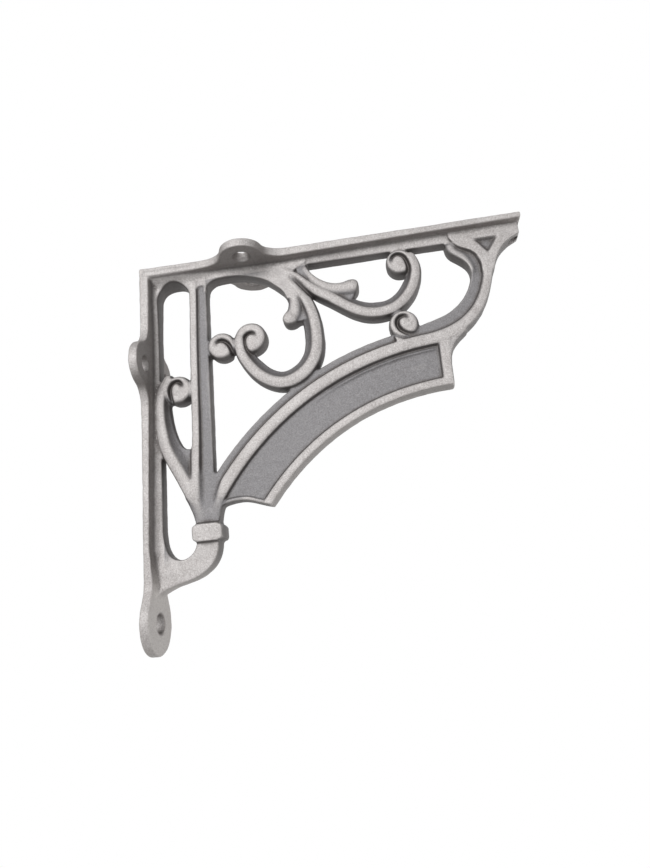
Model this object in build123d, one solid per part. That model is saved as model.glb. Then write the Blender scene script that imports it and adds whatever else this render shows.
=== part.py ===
from build123d import *
import os
from math import atan2, cos, degrees, radians, sin, sqrt

os.makedirs("parts", exist_ok=True)

# A sand-cast iron shelf bracket.  X runs out from the wall, Z is up and Y is across the bracket.
# The origin is the top corner: the wall face is x = 0, the shelf face is z = 0, and the casting
# is the same on both sides of y = 0, the plane on which its mould was parted.
# All sizes are in millimetres.

# Overall
reach = 155.0            # wall face to the tip of the shelf flange
drop = 153.7             # shelf face to the lower end of the tab
flange_width = 14.0      # across both flanges

# Flanges
wall_flange_top = 3.7    # wall flange thickness under the corner
wall_flange_low = 2.6    # and where it is thinnest, beside the collar
shelf_flange_root = 3.7  # shelf flange thickness at the corner
shelf_flange_tip = 2.4   # and at the tip

# Ears and tab
ear_span = 37.6          # across both ears of a pair
ear_base = 34.0          # length of an ear along its flange
ear_nose_radius = 9.0    # rounded outer end of an ear
ear_hole_spacing = 20.6  # between the two holes of a pair
shelf_hole_out = 44.3    # holes of the shelf ears, from the wall face
wall_hole_down = 43.6    # holes of the wall ears, below the shelf face
shelf_hole = 7.4         # diameter
wall_hole = 6.4          # diameter
tab_width = 22.8         # rounded tab at the lower end
tab_thickness = 3.8
tab_hole = 7.2           # diameter
tab_shoulder = 14.0      # from the tab's hole up to where the flange starts to widen
tip_hole = 3.6           # small screw hole at the tip, diameter
tip_hole_in = 2.9        # its centre, from the end of the flange

# Thicknesses, each side of the parting plane
web_half = 2.4           # the lower level between the ribs
recess_half = 1.4        # the blind recesses between two ribs that run together
rail_root_half = 5.0     # rails where they meet the flanges
rail_edge_half = 2.5     # rails at their free edges
strut_half = 3.3
rib_half = 3.9           # crests of the ribs and scrolls
leg_half = 3.6
collar_half = 5.1
panel_half = 2.3         # floor of the curved panel
rim_half = 3.6           # rim of the curved panel
corner_half = 6.6        # corner block where it meets the shelf flange

# Rails, slot and strut
rail_depth = 3.2         # rail below the shelf flange
wall_rail_depth = 2.9    # rail beside the wall flange
slot_width = 13.2        # slot between the wall rail and the strut
strut_width = 7.3
strut_crest = 3.0        # raised band on the wall side of the strut

# Ribs and scrolls
crest_width = 3.2        # flat top of a scroll rib
dish = 3.2               # slope on the hollow side of a scroll, seen from the front
flank = 1.9              # slope on its outer side
volute_radius = 5.8      # rolled ends of the wall scroll and, on its left, of the ring scroll
big_volute_radius = 6.6  # right rolled end of the ring scroll
small_volute_radius = 5.5  # shelf scroll
brace_volute_radius = 5.9
volute_slope = 1.0       # from the outline of a rolled end to its flat top
eye_radius = 2.9         # round eye in the middle of a rolled end
eye_groove = 1.1         # width of the groove that winds round the eye
groove_depth = 1.6
lap = 0.5                # how far a rolled end runs into the bar that it touches

# Leg, collar and foot
leg_width = 8.4
leg_out = 24.0           # centre of the leg, from the wall face
collar_width = 12.0
collar_height = 6.4
collar_down = 108.0      # top of the collar, below the shelf face
collar_corner = 1.3      # soft corners of the collar
foot_down = 132.2        # point of the foot, below the shelf face

# The arch and its panel are rings about one centre, set by where the lower edge of the arch's crest
# leaves the leg and where it is highest
arch_spring_in = 2.0     # from the leg, outwards
arch_spring_down = 100.0
arch_crown_in = 32.2     # from the tip, inwards
arch_crown_down = 48.5
arch_crest = 4.6         # width of the arch crest
arch_web = 3.8           # lower level above the crest
panel_depth = 17.4       # from the arch crest to the lower edge of the panel
panel_rim = 3.4          # raised rim along the lower edge
panel_end_in = 33.7      # right end of the panel, from the tip
panel_end_rim = 3.8      # raised rim at that end
panel_left_angle = 152   # degrees about the centre, beyond the wavy end that trims the panel

half_flange = flange_width / 2
half_span = ear_span / 2
ear_end = shelf_hole_out + ear_base / 2
rail_low = shelf_flange_root + rail_depth
wall_rail_x = wall_flange_top + wall_rail_depth
strut_x = wall_rail_x + slot_width
strut_right = strut_x + strut_width
slot_radius = slot_width / 2
slot_centre = (wall_rail_x + slot_radius, -rail_low - slot_radius)
leg_left = leg_out - leg_width / 2
leg_right = leg_out + leg_width / 2
arch_crown = (reach - arch_crown_in, -arch_crown_down)
arch_run = arch_crown[0] - leg_right - arch_spring_in
arch_rise = arch_spring_down - arch_crown_down
arch_radius = (arch_run ** 2 + arch_rise ** 2) / (2 * arch_rise)
arch_centre = (arch_crown[0], arch_crown[1] - arch_radius)
panel_radius = arch_radius - panel_depth
collar_low = collar_down + collar_height
tab_radius = tab_width / 2
tab_z = tab_radius - drop
shoulder_z = tab_z + tab_shoulder
through = 4 * collar_half

# The freely curved open work is laid out on a drawing of this reach and drop, and moves with them
drawn_size = (155.0, 153.7)


def spot(x, z):
    """A point of the layout, moved with the reach and the drop."""
    return (x * reach / drawn_size[0], z * drop / drawn_size[1])


def spots(*points):
    return [spot(x, z) for x, z in points]


def blade(left, right):
    """A flat shape between two smooth edges that run the same way."""
    return make_face([
        Spline(*left), Line(left[-1], right[-1]), Spline(*right[::-1]), Line(right[0], left[0])])


def slab(face, half):
    """A flat shape given the same thickness on both sides of the parting plane."""
    return extrude(face, amount=half, both=True)


def both_sides(cutter):
    """A cutter on the near side of the parting plane, and its mirror image."""
    return cutter + mirror(cutter, about=Plane.XY)


def drafted(base, crest, half):
    """A solid widest on the parting plane, with sloping sides up to a flat top on each side."""
    return loft([Pos(0, 0, -half) * crest, base, Pos(0, 0, half) * crest], ruled=True)


def rib(points, left, right, stations=12):
    """A drafted rib along a smooth line, with its slopes to the left and the right of its crest."""
    line = Spline(*spots(*points))
    half = crest_width / 2
    edges = {left + half: [], half: [], -half: [], -right - half: []}
    for step in range(stations):
        place = line @ (step / (stations - 1))
        way = line % (step / (stations - 1))
        for out, edge in edges.items():
            edge.append((place.X - way.Y * out, place.Y + way.X * out))
    outer_left, inner_left, inner_right, outer_right = edges.values()
    outline = blade(outer_left, outer_right)
    return outline, drafted(outline, blade(inner_left, inner_right), rib_half)


def arc_band(inner, outer, start, end):
    """Part of a ring about the arch's centre, from one angle to another."""
    low = CenterArc(arch_centre, inner, start, end - start)
    high = CenterArc(arch_centre, outer, start, end - start)
    return make_face([low, Line(low @ 1, high @ 1), high, Line(high @ 0, low @ 0)])


def arch_angle(x, radius):
    """The angle at which a ring about the arch's centre passes over x."""
    side = x - arch_centre[0]
    return degrees(atan2(sqrt(radius ** 2 - side ** 2), side))


def volute(centre, radius, start, sweep):
    """A rolled end with a round eye, and a groove that winds round the eye."""
    outline = Pos(*centre) * Circle(radius)
    body = drafted(outline, Pos(*centre) * Circle(radius - volute_slope), rib_half)
    inner = CenterArc(centre, eye_radius, start, sweep)
    outer = CenterArc(centre, eye_radius + eye_groove, start, sweep)
    groove = make_face([inner, Line(inner @ 1, outer @ 1), outer, Line(outer @ 0, inner @ 0)])
    cutter = Pos(0, 0, rib_half - groove_depth) * extrude(groove, amount=rib_half)
    return outline, body - both_sides(cutter)


def leaf(left, right):
    """A plain leaf that lies beside a scroll."""
    outline = blade(spots(*left), spots(*right))
    return outline, slab(outline, strut_half)


# Flanges.  The shelf flange butts against the wall flange, and both get thinner away from the corner.
def wall_flange_at(depth):
    """The wall flange's thickness at a depth between its ears' holes and its tab."""
    marks = [(wall_hole_down, wall_flange_top), (collar_low, wall_flange_low), (-shoulder_z, tab_thickness)]
    if depth <= marks[0][0]:
        return marks[0][1]
    for (low, first), (high, last) in zip(marks, marks[1:]):
        if depth <= high:
            return first + (last - first) * (depth - low) / (high - low)
    return tab_thickness


def shelf_flange_at(x):
    """The shelf flange's thickness at a distance from the wall."""
    share = max(0, (x - ear_end) / (reach - ear_end))
    return shelf_flange_root + (shelf_flange_tip - shelf_flange_root) * share


def wall_flange():
    return slab(make_face(Polyline(
        (0, 0), (wall_flange_top, 0), (wall_flange_top, -wall_hole_down),
        (wall_flange_low, -collar_low), (tab_thickness, shoulder_z), (0, shoulder_z), (0, 0))), half_flange)


def tip_hole_cutter():
    """The small screw hole that runs up through the tip."""
    return Pos(reach - tip_hole_in, 0) * Rot(X=90) * Cylinder(tip_hole / 2, 2 * through)


def shelf_flange():
    flange = slab(make_face(Polyline(
        (wall_flange_top, 0), (reach, 0), (reach, -shelf_flange_tip), (ear_end, -shelf_flange_root),
        (wall_flange_top, -shelf_flange_root), (wall_flange_top, 0))), half_flange)
    return flange - tip_hole_cutter()


# Ears and tab.  An ear is drawn along its flange (first value) and across it (second).
def ear_outline(hole):
    side = radians(165)
    left = (ear_nose_radius * cos(side), half_span - ear_nose_radius + ear_nose_radius * sin(side))
    right = (-left[0], left[1])
    start, end = (-ear_base / 2, half_flange), (ear_base / 2, half_flange)
    face = make_face([
        Spline(start, left, tangents=[(1, 0), (sin(side), -cos(side))]),
        ThreePointArc(left, (0, half_span), right),
        Spline(right, end, tangents=[(sin(side), cos(side)), (1, 0)]),
        Line(end, start)])
    return face - Pos(0, ear_hole_spacing / 2) * Circle(hole / 2)


def tab_outline():
    side = radians(20)
    right = (tab_radius * cos(side), tab_z + tab_radius * sin(side))
    left = (-right[0], right[1])
    face = make_face([
        Spline((-half_flange, shoulder_z), left, tangents=[(0, -1), (-sin(side), -cos(side))]),
        ThreePointArc(left, (0, tab_z - tab_radius), right),
        Spline(right, (half_flange, shoulder_z), tangents=[(-sin(side), cos(side)), (0, 1)]),
        Line((half_flange, shoulder_z), (-half_flange, shoulder_z))])
    return face - Pos(0, tab_z) * Circle(tab_hole / 2)


# The web behind the flanges
def box_outline(x0, x1, z0, z1):
    return Pos((x0 + x1) / 2, (z0 + z1) / 2) * Rectangle(x1 - x0, z1 - z0)


def corner_block():
    """The thick web behind the corner, with the round top of the slot in it."""
    low = slot_centre[1]
    outline = box_outline(wall_flange_top, strut_right, low, -shelf_flange_root)
    profile = make_face(Polyline(
        (-shelf_flange_root, -corner_half), (-shelf_flange_root, corner_half), (-rail_low, strut_half),
        (low, strut_half), (low, -strut_half), (-rail_low, -strut_half), (-shelf_flange_root, -corner_half)))
    bar = extrude(Plane.YZ * profile, amount=strut_right - wall_flange_top)
    slot = Pos(*slot_centre) * Cylinder(slot_radius, through)
    return outline - Pos(*slot_centre) * Circle(slot_radius), Pos(wall_flange_top, 0, 0) * bar - slot


def shelf_rail():
    """The rail under the shelf flange, thinner at its free edge."""
    sections = []
    for x in (strut_right, ear_end, reach):
        share = (x - strut_right) / (reach - strut_right)
        root = rail_root_half + (strut_half - rail_root_half) * share
        top = -shelf_flange_at(x)
        profile = Polyline(
            (top, -root), (top, root), (-rail_low, rail_edge_half), (-rail_low, -rail_edge_half), close=True)
        sections.append(Plane.YZ.offset(x) * make_face(profile))
    rail = loft(sections, ruled=True) - tip_hole_cutter()
    return box_outline(strut_right, reach, -rail_low, -shelf_flange_tip), rail


def wall_rail():
    """The rail beside the wall flange, from the corner block down to the foot."""
    sections = []
    for depth in (-slot_centre[1], wall_hole_down, collar_low):
        inner = wall_flange_at(depth)
        plane = Plane(origin=(0, -depth, 0), x_dir=(1, 0, 0), z_dir=(0, -1, 0))
        sections.append(plane * make_face(Polyline(
            (inner, -rail_root_half), (wall_rail_x, -rail_edge_half),
            (wall_rail_x, rail_edge_half), (inner, rail_root_half), (inner, -rail_root_half))))
    return box_outline(wall_flange_low, wall_rail_x, -collar_low, slot_centre[1]), loft(sections, ruled=True)


def strut():
    """The upright beside the slot: a plain bar with a raised band on its wall side."""
    depths = (slot_centre[1], spot(0, -50)[1], spot(0, -76)[1], leg_top)
    left = [(strut_x - lean, z) for lean, z in zip((0, 0.6, 1.0, 1.7), depths)]
    right = [(strut_right, z) for z in depths]
    outline = blade(left, right)
    band = blade(left, [(x + strut_crest, z) for x, z in left])
    return outline, slab(outline, strut_half) + slab(band, rib_half)


# Leg, collar and foot
leg_top = 9.5 - collar_down


def collar():
    """The square band round the leg, with soft corners."""
    place = (leg_out, -collar_down - collar_height / 2)
    box = Pos(*place) * Box(collar_width, collar_height, 2 * collar_half)
    return Pos(*place) * Rectangle(collar_width, collar_height), fillet(box.edges(), collar_corner)


def leg():
    """The throat in which strut, wall scroll and arch come together above the collar."""
    middle = (leg_top - collar_down) / 2
    left = [(leg_left - 2.8, leg_top), (leg_left - 1.1, middle), (leg_left, -collar_down)]
    right = [(leg_right + 3.0, leg_top), (leg_right + 0.7, middle), (leg_right, -collar_down)]
    outline = blade(left, right)
    return outline, slab(outline, leg_half)


def foot():
    """The elbow from the collar back to the wall flange, ending in a point above the tab."""
    hollow = [
        (leg_left, -collar_low), (leg_left - 2.4, -collar_low - 4.4), (slot_centre[0], -collar_low - 5.6),
        (wall_rail_x + 2.4, -collar_low - 4.2), (wall_rail_x, -collar_low)]
    heel = [
        (leg_right, -collar_low), (leg_right - 2.2, -collar_low - 7.4), (leg_right - 8.2, 5.3 - foot_down),
        (leg_right - 17.0, 2.6 - foot_down), (tab_thickness, -foot_down)]
    outline = make_face([
        Spline(*hollow, tangents=[(0, -1), (0, 1)]),
        Line(hollow[-1], (wall_flange_low, -collar_low)),
        Line((wall_flange_low, -collar_low), (tab_thickness, shoulder_z)),
        Line((tab_thickness, shoulder_z), heel[-1]),
        Spline(*heel[::-1]),
        Line(heel[0], hollow[0])])
    return outline, slab(outline, leg_half)


# The arch and its curved panel
def arch_rib():
    """The raised crest of the arch, with a lower level along its upper side."""
    start = arch_angle(leg_right + 1.0, arch_radius)
    crest_top = arch_radius + arch_crest
    crest = arc_band(arch_radius, crest_top, start, arch_angle(spot(104.5, 0)[0], arch_radius))
    web = arc_band(arch_radius, crest_top + arch_web, start, arch_angle(spot(103.5, 0)[0], arch_radius))
    return web + crest, slab(web, web_half) + slab(crest, rib_half)


def curved_panel():
    """The curved panel under the arch: a bare sunken floor with a raised rim on two sides."""
    right = arch_angle(reach - panel_end_in, panel_radius)
    band = arc_band(panel_radius, arch_radius, right, panel_left_angle)
    end = spots((24, -101.8), (31, -101.6), (36, -100.9), (42, -101.6), (49, -103.8), (60, -104.5))
    below = make_face([Spline(*end), Line(end[-1], (end[-1][0], -drop)),
                       Line((end[-1][0], -drop), (end[0][0], -drop)), Line((end[0][0], -drop), end[0])])
    band -= below
    floor_end = right + degrees(panel_end_rim / panel_radius)
    floor = arc_band(panel_radius + panel_rim, arch_radius, floor_end, panel_left_angle)
    sunk = Pos(0, 0, panel_half) * extrude(floor, amount=through)
    return band, slab(band, rim_half) - both_sides(sunk)


def panel_shoulder():
    """The small fillet of metal between the end of the panel and the tip brace."""
    corner = (reach - panel_end_in, arch_crown[1])
    low = (corner[0], corner[1] - 8)
    tip = (corner[0] + 5.0, corner[1] + 1.4)
    outline = make_face([
        Spline(low, (corner[0] + 0.9, corner[1] - 3.9), tip), Line(tip, (corner[0], tip[1])),
        Line((corner[0], tip[1]), low)])
    return outline, slab(outline, rim_half)


# The tip brace and the gusset in which it ends
brace_hollow = [
    (100.6, -41.4), (107.5, -40.6), (114.5, -38.6), (120.0, -37.3), (125.5, -34.4), (129.8, -30.0),
    (132.6, -24.5), (133.4, -20.3), (132.0, -16.6), (128.5, -13.4), (125.6, -10.4), (124.9, -6.0)]
brace_inner = [
    (100.8, -43.2), (105.5, -44.8), (112.0, -44.4), (120.0, -43.0), (128.0, -39.3), (133.8, -33.3),
    (137.3, -25.5), (138.0, -18.5)]
brace_outer = [
    (103.0, -49.6), (112.0, -48.9), (121.0, -47.6), (129.0, -43.9), (135.6, -37.4), (139.8, -29.5),
    (143.6, -18.5)]
gusset_inner = [(127.0, -6.0), (130.0, -9.0), (135.0, -12.0), (137.6, -16.0), (137.9, -21.5)]
gusset_outer = [(155.0, -7.6), (150.4, -9.3), (146.8, -12.2), (144.3, -16.8), (142.4, -21.5)]
brace_lobe = [(125.4, -6.0), (126.2, -10.3), (129.2, -13.2), (132.2, -16.6), (133.3, -20.0)]
brace_lobe_edge = [(129.5, -6.0), (129.4, -9.6), (131.7, -12.4), (133.4, -16.0), (134.0, -20.0)]
pocket = [(136.3, -7.8), (145.8, -7.8), (141.2, -13.8)]
pocket_depth = 2.2


def tip_gusset():
    """The solid end of the brace under the tip, with a three-sided pocket on each side."""
    inner, outer = spots(*gusset_inner), spots(*gusset_outer)
    outline = make_face([
        Spline(*inner), Line(inner[-1], outer[-1]), Spline(*outer[::-1]),
        Line(outer[0], (outer[0][0], inner[0][1])), Line((outer[0][0], inner[0][1]), inner[0])])
    mouth = make_face(Polyline(*spots(*pocket), close=True))
    low = Pos(0, 0, rib_half - pocket_depth) * scale(mouth, 0.15)
    body = slab(outline, rib_half) - both_sides(loft([low, Pos(0, 0, rib_half) * mouth], ruled=True))
    return outline, body - tip_hole_cutter()


def tip_brace():
    """The outer scroll that carries the tip: a crest with a dished lower level on its hollow side."""
    outer = spots(*brace_outer)
    hollow = blade(spots(*brace_hollow), outer)
    crest = blade(spots(*brace_inner), outer)
    lobe = blade(spots(*brace_lobe), spots(*brace_lobe_edge))
    return hollow + lobe, slab(hollow, web_half) + slab(crest, rib_half) + slab(lobe, strut_half)


# The two scrolls that spring from the rail, and the one on the wall rail
ring_path = [
    (57.0, -10.5), (63.2, -16.6), (67.7, -23.5), (70.3, -31.0), (70.7, -39.0), (68.3, -47.5),
    (63.0, -53.2), (56.4, -55.6), (49.8, -53.6), (44.4, -48.2), (41.2, -42.4), (40.2, -39.4)]
shelf_path = [
    (59.0, -7.8), (66.0, -13.6), (72.0, -18.7), (79.0, -24.0), (87.0, -29.6), (95.0, -32.4),
    (102.5, -31.6), (108.5, -26.8), (112.0, -19.8), (111.2, -11.0)]
wall_path = [
    (9.4, -52.0), (7.8, -58.0), (7.4, -64.0), (7.9, -71.0), (9.4, -78.5), (12.4, -85.0),
    (15.7, -91.5), (19.0, -99.0)]
root_edge = [(33.0, -7.3), (40.0, -7.5), (47.0, -9.2), (52.0, -11.5), (56.3, -15.0), (59.4, -19.0)]
root_end = [(65.4, -18.0), (61.0, -10.3), (67.5, -6.0)]


def scroll_root():
    """The flat plate under the rail from which both scrolls spring."""
    top = spot(0, root_end[-1][1])[1]
    start = (strut_right, slot_centre[1] + 1.0)
    end = spots(*root_end)
    outline = make_face([
        Spline(start, (strut_right + 1.4, -rail_low - 2.3), *spots(*root_edge)),
        Line(spot(*root_edge[-1]), end[0]), Line(end[0], end[1]), Line(end[1], end[2]),
        Line(end[2], (strut_right, top)), Line((strut_right, top), start)])
    return outline, slab(outline, strut_half)


def wall_recess():
    """The blind end of the hollow between the wall scroll and the strut."""
    outline = blade(
        spots((9.0, -71.0), (12.0, -79.0), (17.0, -92.0)), spots((14.6, -72.5), (17.4, -77.4), (20.4, -78.0)))
    return outline, slab(outline, recess_half)


# The open work is put together in this order.  Each member is cut back to those before it, so that
# they meet face to face where the real metal runs on from one to the next.  Small offcuts are left out.
members = {}
outlines = []


def add(name, outline, body):
    box = outline.bounding_box()
    for other in outlines:
        reach_box = other.bounding_box()
        if (reach_box.min.X < box.max.X and box.min.X < reach_box.max.X
                and reach_box.min.Y < box.max.Y and box.min.Y < reach_box.max.Y):
            body = body - slab(other, through)
    outlines.append(outline)
    members[name] = body.solids().sort_by(SortBy.VOLUME)[-1]


add("corner_block", *corner_block())
add("shelf_rail", *shelf_rail())
add("wall_rail", *wall_rail())
add("collar", *collar())
add("leg", *leg())
add("foot", *foot())
add("strut", *strut())
add("tip_gusset", *tip_gusset())
add("scroll_root", *scroll_root())
add("ring_scroll_left_volute", *volute(
    (strut_right + volute_radius - lap, spot(0, -37.4)[1]), volute_radius, -45, 175))
add("ring_scroll_right_volute", *volute(spot(44.4, -35.6), big_volute_radius, 50, 190))
add("shelf_scroll_volute", *volute(
    (spot(106.6, 0)[0], -rail_low - small_volute_radius + lap), small_volute_radius, -60, 200))
add("tip_brace_volute", *volute(spot(105.2, -38.7), brace_volute_radius, 55, 220))
add("wall_scroll_volute", *volute(
    (strut_x - 0.6 + lap - volute_radius, spot(0, -53.6)[1]), volute_radius, 0, 230))
add("arch_rib", *arch_rib())
add("tip_brace", *tip_brace())
add("curved_panel", *curved_panel())
add("panel_shoulder", *panel_shoulder())
add("ring_scroll_leaf", *leaf(
    [(56.0, -13.0), (60.3, -20.5), (59.4, -25.0), (57.4, -28.6), (58.8, -30.6)],
    [(60.0, -14.5), (64.2, -19.8), (66.6, -25.5), (67.2, -29.8), (62.5, -31.0)]))
add("shelf_scroll_leaf", *leaf(
    [(69.2, -6.0), (74.0, -14.2), (81.0, -17.2), (87.2, -16.8), (89.2, -18.6)],
    [(68.0, -11.5), (74.2, -18.2), (80.0, -22.6), (85.6, -25.0), (88.8, -22.0)]))
add("ring_scroll", *rib(ring_path, flank, dish))
add("shelf_scroll", *rib(shelf_path, dish, flank))
add("wall_scroll", *rib(wall_path, dish, flank))
add("wall_recess", *wall_recess())

parts = {name: Plane.XZ * body for name, body in members.items()}
parts["wall_flange"] = Plane.XZ * wall_flange()
parts["shelf_flange"] = Plane.XZ * shelf_flange()
parts["bottom_tab"] = extrude(Plane.YZ * tab_outline(), amount=tab_thickness, dir=(1, 0, 0))

# An ear on each side of both flanges
shelf_ear = Pos(shelf_hole_out, 0, 0) * ear_outline(shelf_hole)
shelf_ear = extrude(shelf_ear, amount=shelf_flange_root, dir=(0, 0, -1))
ear_plane = Plane(origin=(0, 0, -wall_hole_down), x_dir=(0, 0, 1), z_dir=(-1, 0, 0))
wall_ear = extrude(ear_plane * ear_outline(wall_hole), amount=wall_flange_top, dir=(1, 0, 0))
for name, ear in (("shelf_ear", shelf_ear), ("wall_ear", wall_ear)):
    parts[name + "_right"] = ear
    parts[name + "_left"] = mirror(ear, about=Plane.XZ)

for name, body in parts.items():
    export_step(body, "parts/" + name + ".step")
print(len(parts), "pieces")
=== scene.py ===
# %% [markdown]
# This lesson dresses a cast iron shelf bracket.  The bracket is one casting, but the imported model
# holds it as named members, such as its flanges, ears, scrolls, arch and panel.  Each member gets a
# finished piece of its own here, in the same frame and in the same place as the plain solid.
#
# The real object is sand cast: soft edges, a fillet in every corner, ribs that melt into each
# other, and a skin that keeps the grain of the sand.  Polygons pushed about by hand would show hard
# joins between the members.  So the whole casting is written down as one smooth field, a number
# that is positive inside the metal and negative outside, and the surface is drawn where it is zero.

from math import cos, radians, sin, sqrt

import bpy
import numpy as np
import openvdb
from mathutils import Matrix, Vector


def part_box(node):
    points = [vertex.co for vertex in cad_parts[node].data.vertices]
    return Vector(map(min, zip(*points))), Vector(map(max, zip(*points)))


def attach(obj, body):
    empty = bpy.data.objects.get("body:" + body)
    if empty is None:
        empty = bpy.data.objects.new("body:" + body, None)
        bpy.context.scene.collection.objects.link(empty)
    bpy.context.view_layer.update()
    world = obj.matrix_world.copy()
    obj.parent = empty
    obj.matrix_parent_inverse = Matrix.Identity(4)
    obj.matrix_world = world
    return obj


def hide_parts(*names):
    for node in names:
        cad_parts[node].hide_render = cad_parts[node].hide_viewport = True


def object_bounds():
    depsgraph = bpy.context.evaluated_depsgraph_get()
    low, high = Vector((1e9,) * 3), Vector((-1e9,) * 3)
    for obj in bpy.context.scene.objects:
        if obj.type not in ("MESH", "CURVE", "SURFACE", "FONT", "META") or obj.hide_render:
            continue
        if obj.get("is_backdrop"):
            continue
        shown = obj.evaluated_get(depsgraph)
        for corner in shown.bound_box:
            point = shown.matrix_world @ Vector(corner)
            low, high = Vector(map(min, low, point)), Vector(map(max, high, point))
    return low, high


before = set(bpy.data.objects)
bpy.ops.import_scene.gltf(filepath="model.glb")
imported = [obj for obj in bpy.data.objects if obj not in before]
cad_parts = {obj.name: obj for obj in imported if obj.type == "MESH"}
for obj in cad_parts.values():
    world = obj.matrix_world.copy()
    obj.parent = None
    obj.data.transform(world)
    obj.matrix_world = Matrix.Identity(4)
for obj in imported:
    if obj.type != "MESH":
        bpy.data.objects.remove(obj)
solid_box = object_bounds()
mm = 0.001

# %% [markdown]
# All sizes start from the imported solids, so that the finish stays on the frame.  Blender works in
# metres; a casting is easier to think about in millimetres, so lengths are turned into millimetres
# here and turned back when a mesh is made.  X runs out from the wall, Z is up, and the casting is
# the same on both sides of y = 0, the plane on which its mould was parted.

# %% Sizes of the frame


def span(node, axis):
    """The lowest and highest place of a solid along one axis, in millimetres."""
    low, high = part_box(node)
    return low[axis] / mm, high[axis] / mm


reach = span("shelf_flange", 0)[1]
drop = -span("bottom_tab", 2)[0]
half_flange = span("shelf_flange", 1)[1]
half_span = span("shelf_ear_right", 1)[1]
rail_low = -span("shelf_rail", 2)[0]
wall_rail_x = span("wall_rail", 0)[1]
strut_right = span("strut", 0)[1]
collar_box = span("collar", 0), span("collar", 2)
leg_right = collar_box[0][1] - 1.8
leg_left = collar_box[0][0] + 1.8
shelf_hole_out = sum(span("shelf_ear_left", 0)) / 2
wall_hole_down = -sum(span("wall_ear_left", 2)) / 2
shoulder_z = span("bottom_tab", 2)[1]
panel_right = span("curved_panel", 0)[1]
print(f"reach {reach:.1f} mm, height {drop:.1f} mm, across the ears {2 * half_span:.1f} mm")

# %% [markdown]
# The open work is flat apart from its relief, so most of its shape fits on two drawings seen from
# the front: one says how deep inside the outline a point lies, the other how high the metal stands
# on each side of the parting plane. Both live on a lattice of points.

# %% The lattice
voxel = 0.27
margin = 2.0
xs = np.arange(-margin, reach + margin, voxel)
zs = np.arange(-drop - margin, margin, voxel)
ys = np.arange(0, half_span + margin, voxel)
X, Z = np.meshgrid(xs, zs, indexing="ij")
far = -20.0
print("lattice", X.shape, "points,", voxel, "mm apart")

# %% [markdown]
# The freely curved parts are drawn as smooth lines through a few points, the way a pattern maker
# lays a thin wooden strip against pins.  A natural cubic spline is that strip.  From such a line
# every lattice point learns three things: how far it is, on which side, and how far along.

# %% Smooth lines


def smooth_line(points, step=0.5):
    """Points along a natural cubic spline through the given points."""
    pins = np.array(points, float)
    run = np.concatenate([[0.0], np.cumsum(np.hypot(*np.diff(pins, axis=0).T))])
    gap = np.diff(run)
    count = len(pins)
    bend = np.eye(count)
    pull = np.zeros((count, 2))
    for n in range(1, count - 1):
        bend[n, n - 1:n + 2] = gap[n - 1], 2 * (gap[n - 1] + gap[n]), gap[n]
        pull[n] = 6 * ((pins[n + 1] - pins[n]) / gap[n] - (pins[n] - pins[n - 1]) / gap[n - 1])
    curve = np.linalg.solve(bend, pull)
    at = np.linspace(0, run[-1], max(2, int(run[-1] / step) + 1))
    n = np.clip(np.searchsorted(run, at, side="right") - 1, 0, count - 2)
    width = gap[n][:, None]
    a = (run[n + 1] - at)[:, None] / width
    b = 1 - a
    return a * pins[n] + b * pins[n + 1] + ((a ** 3 - a) * curve[n] + (b ** 3 - b) * curve[n + 1]) * width ** 2 / 6


quarter = smooth_line([(10, 0), (7.07, 7.07), (0, 10)])
print(f"a quarter turn in {len(quarter)} steps is {np.hypot(*np.diff(quarter, axis=0).T).sum():.1f} mm long")

# %% [markdown]
# Distances are only worked out on the part of the lattice near a line.  Every short piece of the
# line is tried in turn, and each lattice point keeps the nearest.

# %% Distance to a line


def around(points, room):
    """The part of the lattice that lies round some points."""
    low, high = np.min(points, axis=0) - room, np.max(points, axis=0) + room
    i = np.searchsorted(xs, (low[0], high[0]))
    k = np.searchsorted(zs, (low[1], high[1]))
    return slice(*i), slice(*k)


def beside(line, room=7.0):
    """Distance to a line, its side (1 is left of the way along it) and how far along, as a share."""
    place = around(line, room)
    x, z = X[place], Z[place]
    best, side, run = np.full(x.shape, 1e9), np.zeros(x.shape), np.zeros(x.shape)
    done = 0.0
    for (ax, az), (bx, bz) in zip(line[:-1], line[1:]):
        ux, uz = bx - ax, bz - az
        length = sqrt(ux * ux + uz * uz)
        along = np.clip(((x - ax) * ux + (z - az) * uz) / length ** 2, 0, 1)
        gx, gz = x - ax - along * ux, z - az - along * uz
        square = gx * gx + gz * gz
        near = square < best
        best = np.where(near, square, best)
        side = np.where(near, np.sign(ux * gz - uz * gx), side)
        run = np.where(near, done + along * length, run)
        done += length
    whole = [np.full(X.shape, fill) for fill in (-far, 1.0, 0.0)]
    for array, part in zip(whole, (np.sqrt(best), side, run / done)):
        array[place] = part
    return whole


middle_place = np.argmin(np.abs(xs - 5)), np.argmin(np.abs(zs + 5))
print(f"(5, -5) is {beside(quarter - (0, 10))[0][middle_place]:.1f} mm from that line, moved 10 mm down")

# %% [markdown]
# A closed outline is a ring of such lines.  A point is inside when a line drawn from it to one side
# crosses the ring an odd number of times, and its depth is the distance to the nearest edge.

# %% Depth inside an outline


def depth_in(loop, x, z):
    """How deep points lie inside a closed outline; negative outside."""
    best = np.full(x.shape, 1e9)
    inside = np.zeros(x.shape, bool)
    for (ax, az), (bx, bz) in zip(loop, np.roll(loop, -1, axis=0)):
        ux, uz = bx - ax, bz - az
        square = ux * ux + uz * uz
        if square == 0:
            continue
        along = np.clip(((x - ax) * ux + (z - az) * uz) / square, 0, 1)
        best = np.minimum(best, (x - ax - along * ux) ** 2 + (z - az - along * uz) ** 2)
        if az != bz:
            inside ^= ((az > z) != (bz > z)) & (x < ax + (z - az) * ux / uz)
    return np.where(inside, 1, -1) * np.sqrt(best)


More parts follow.
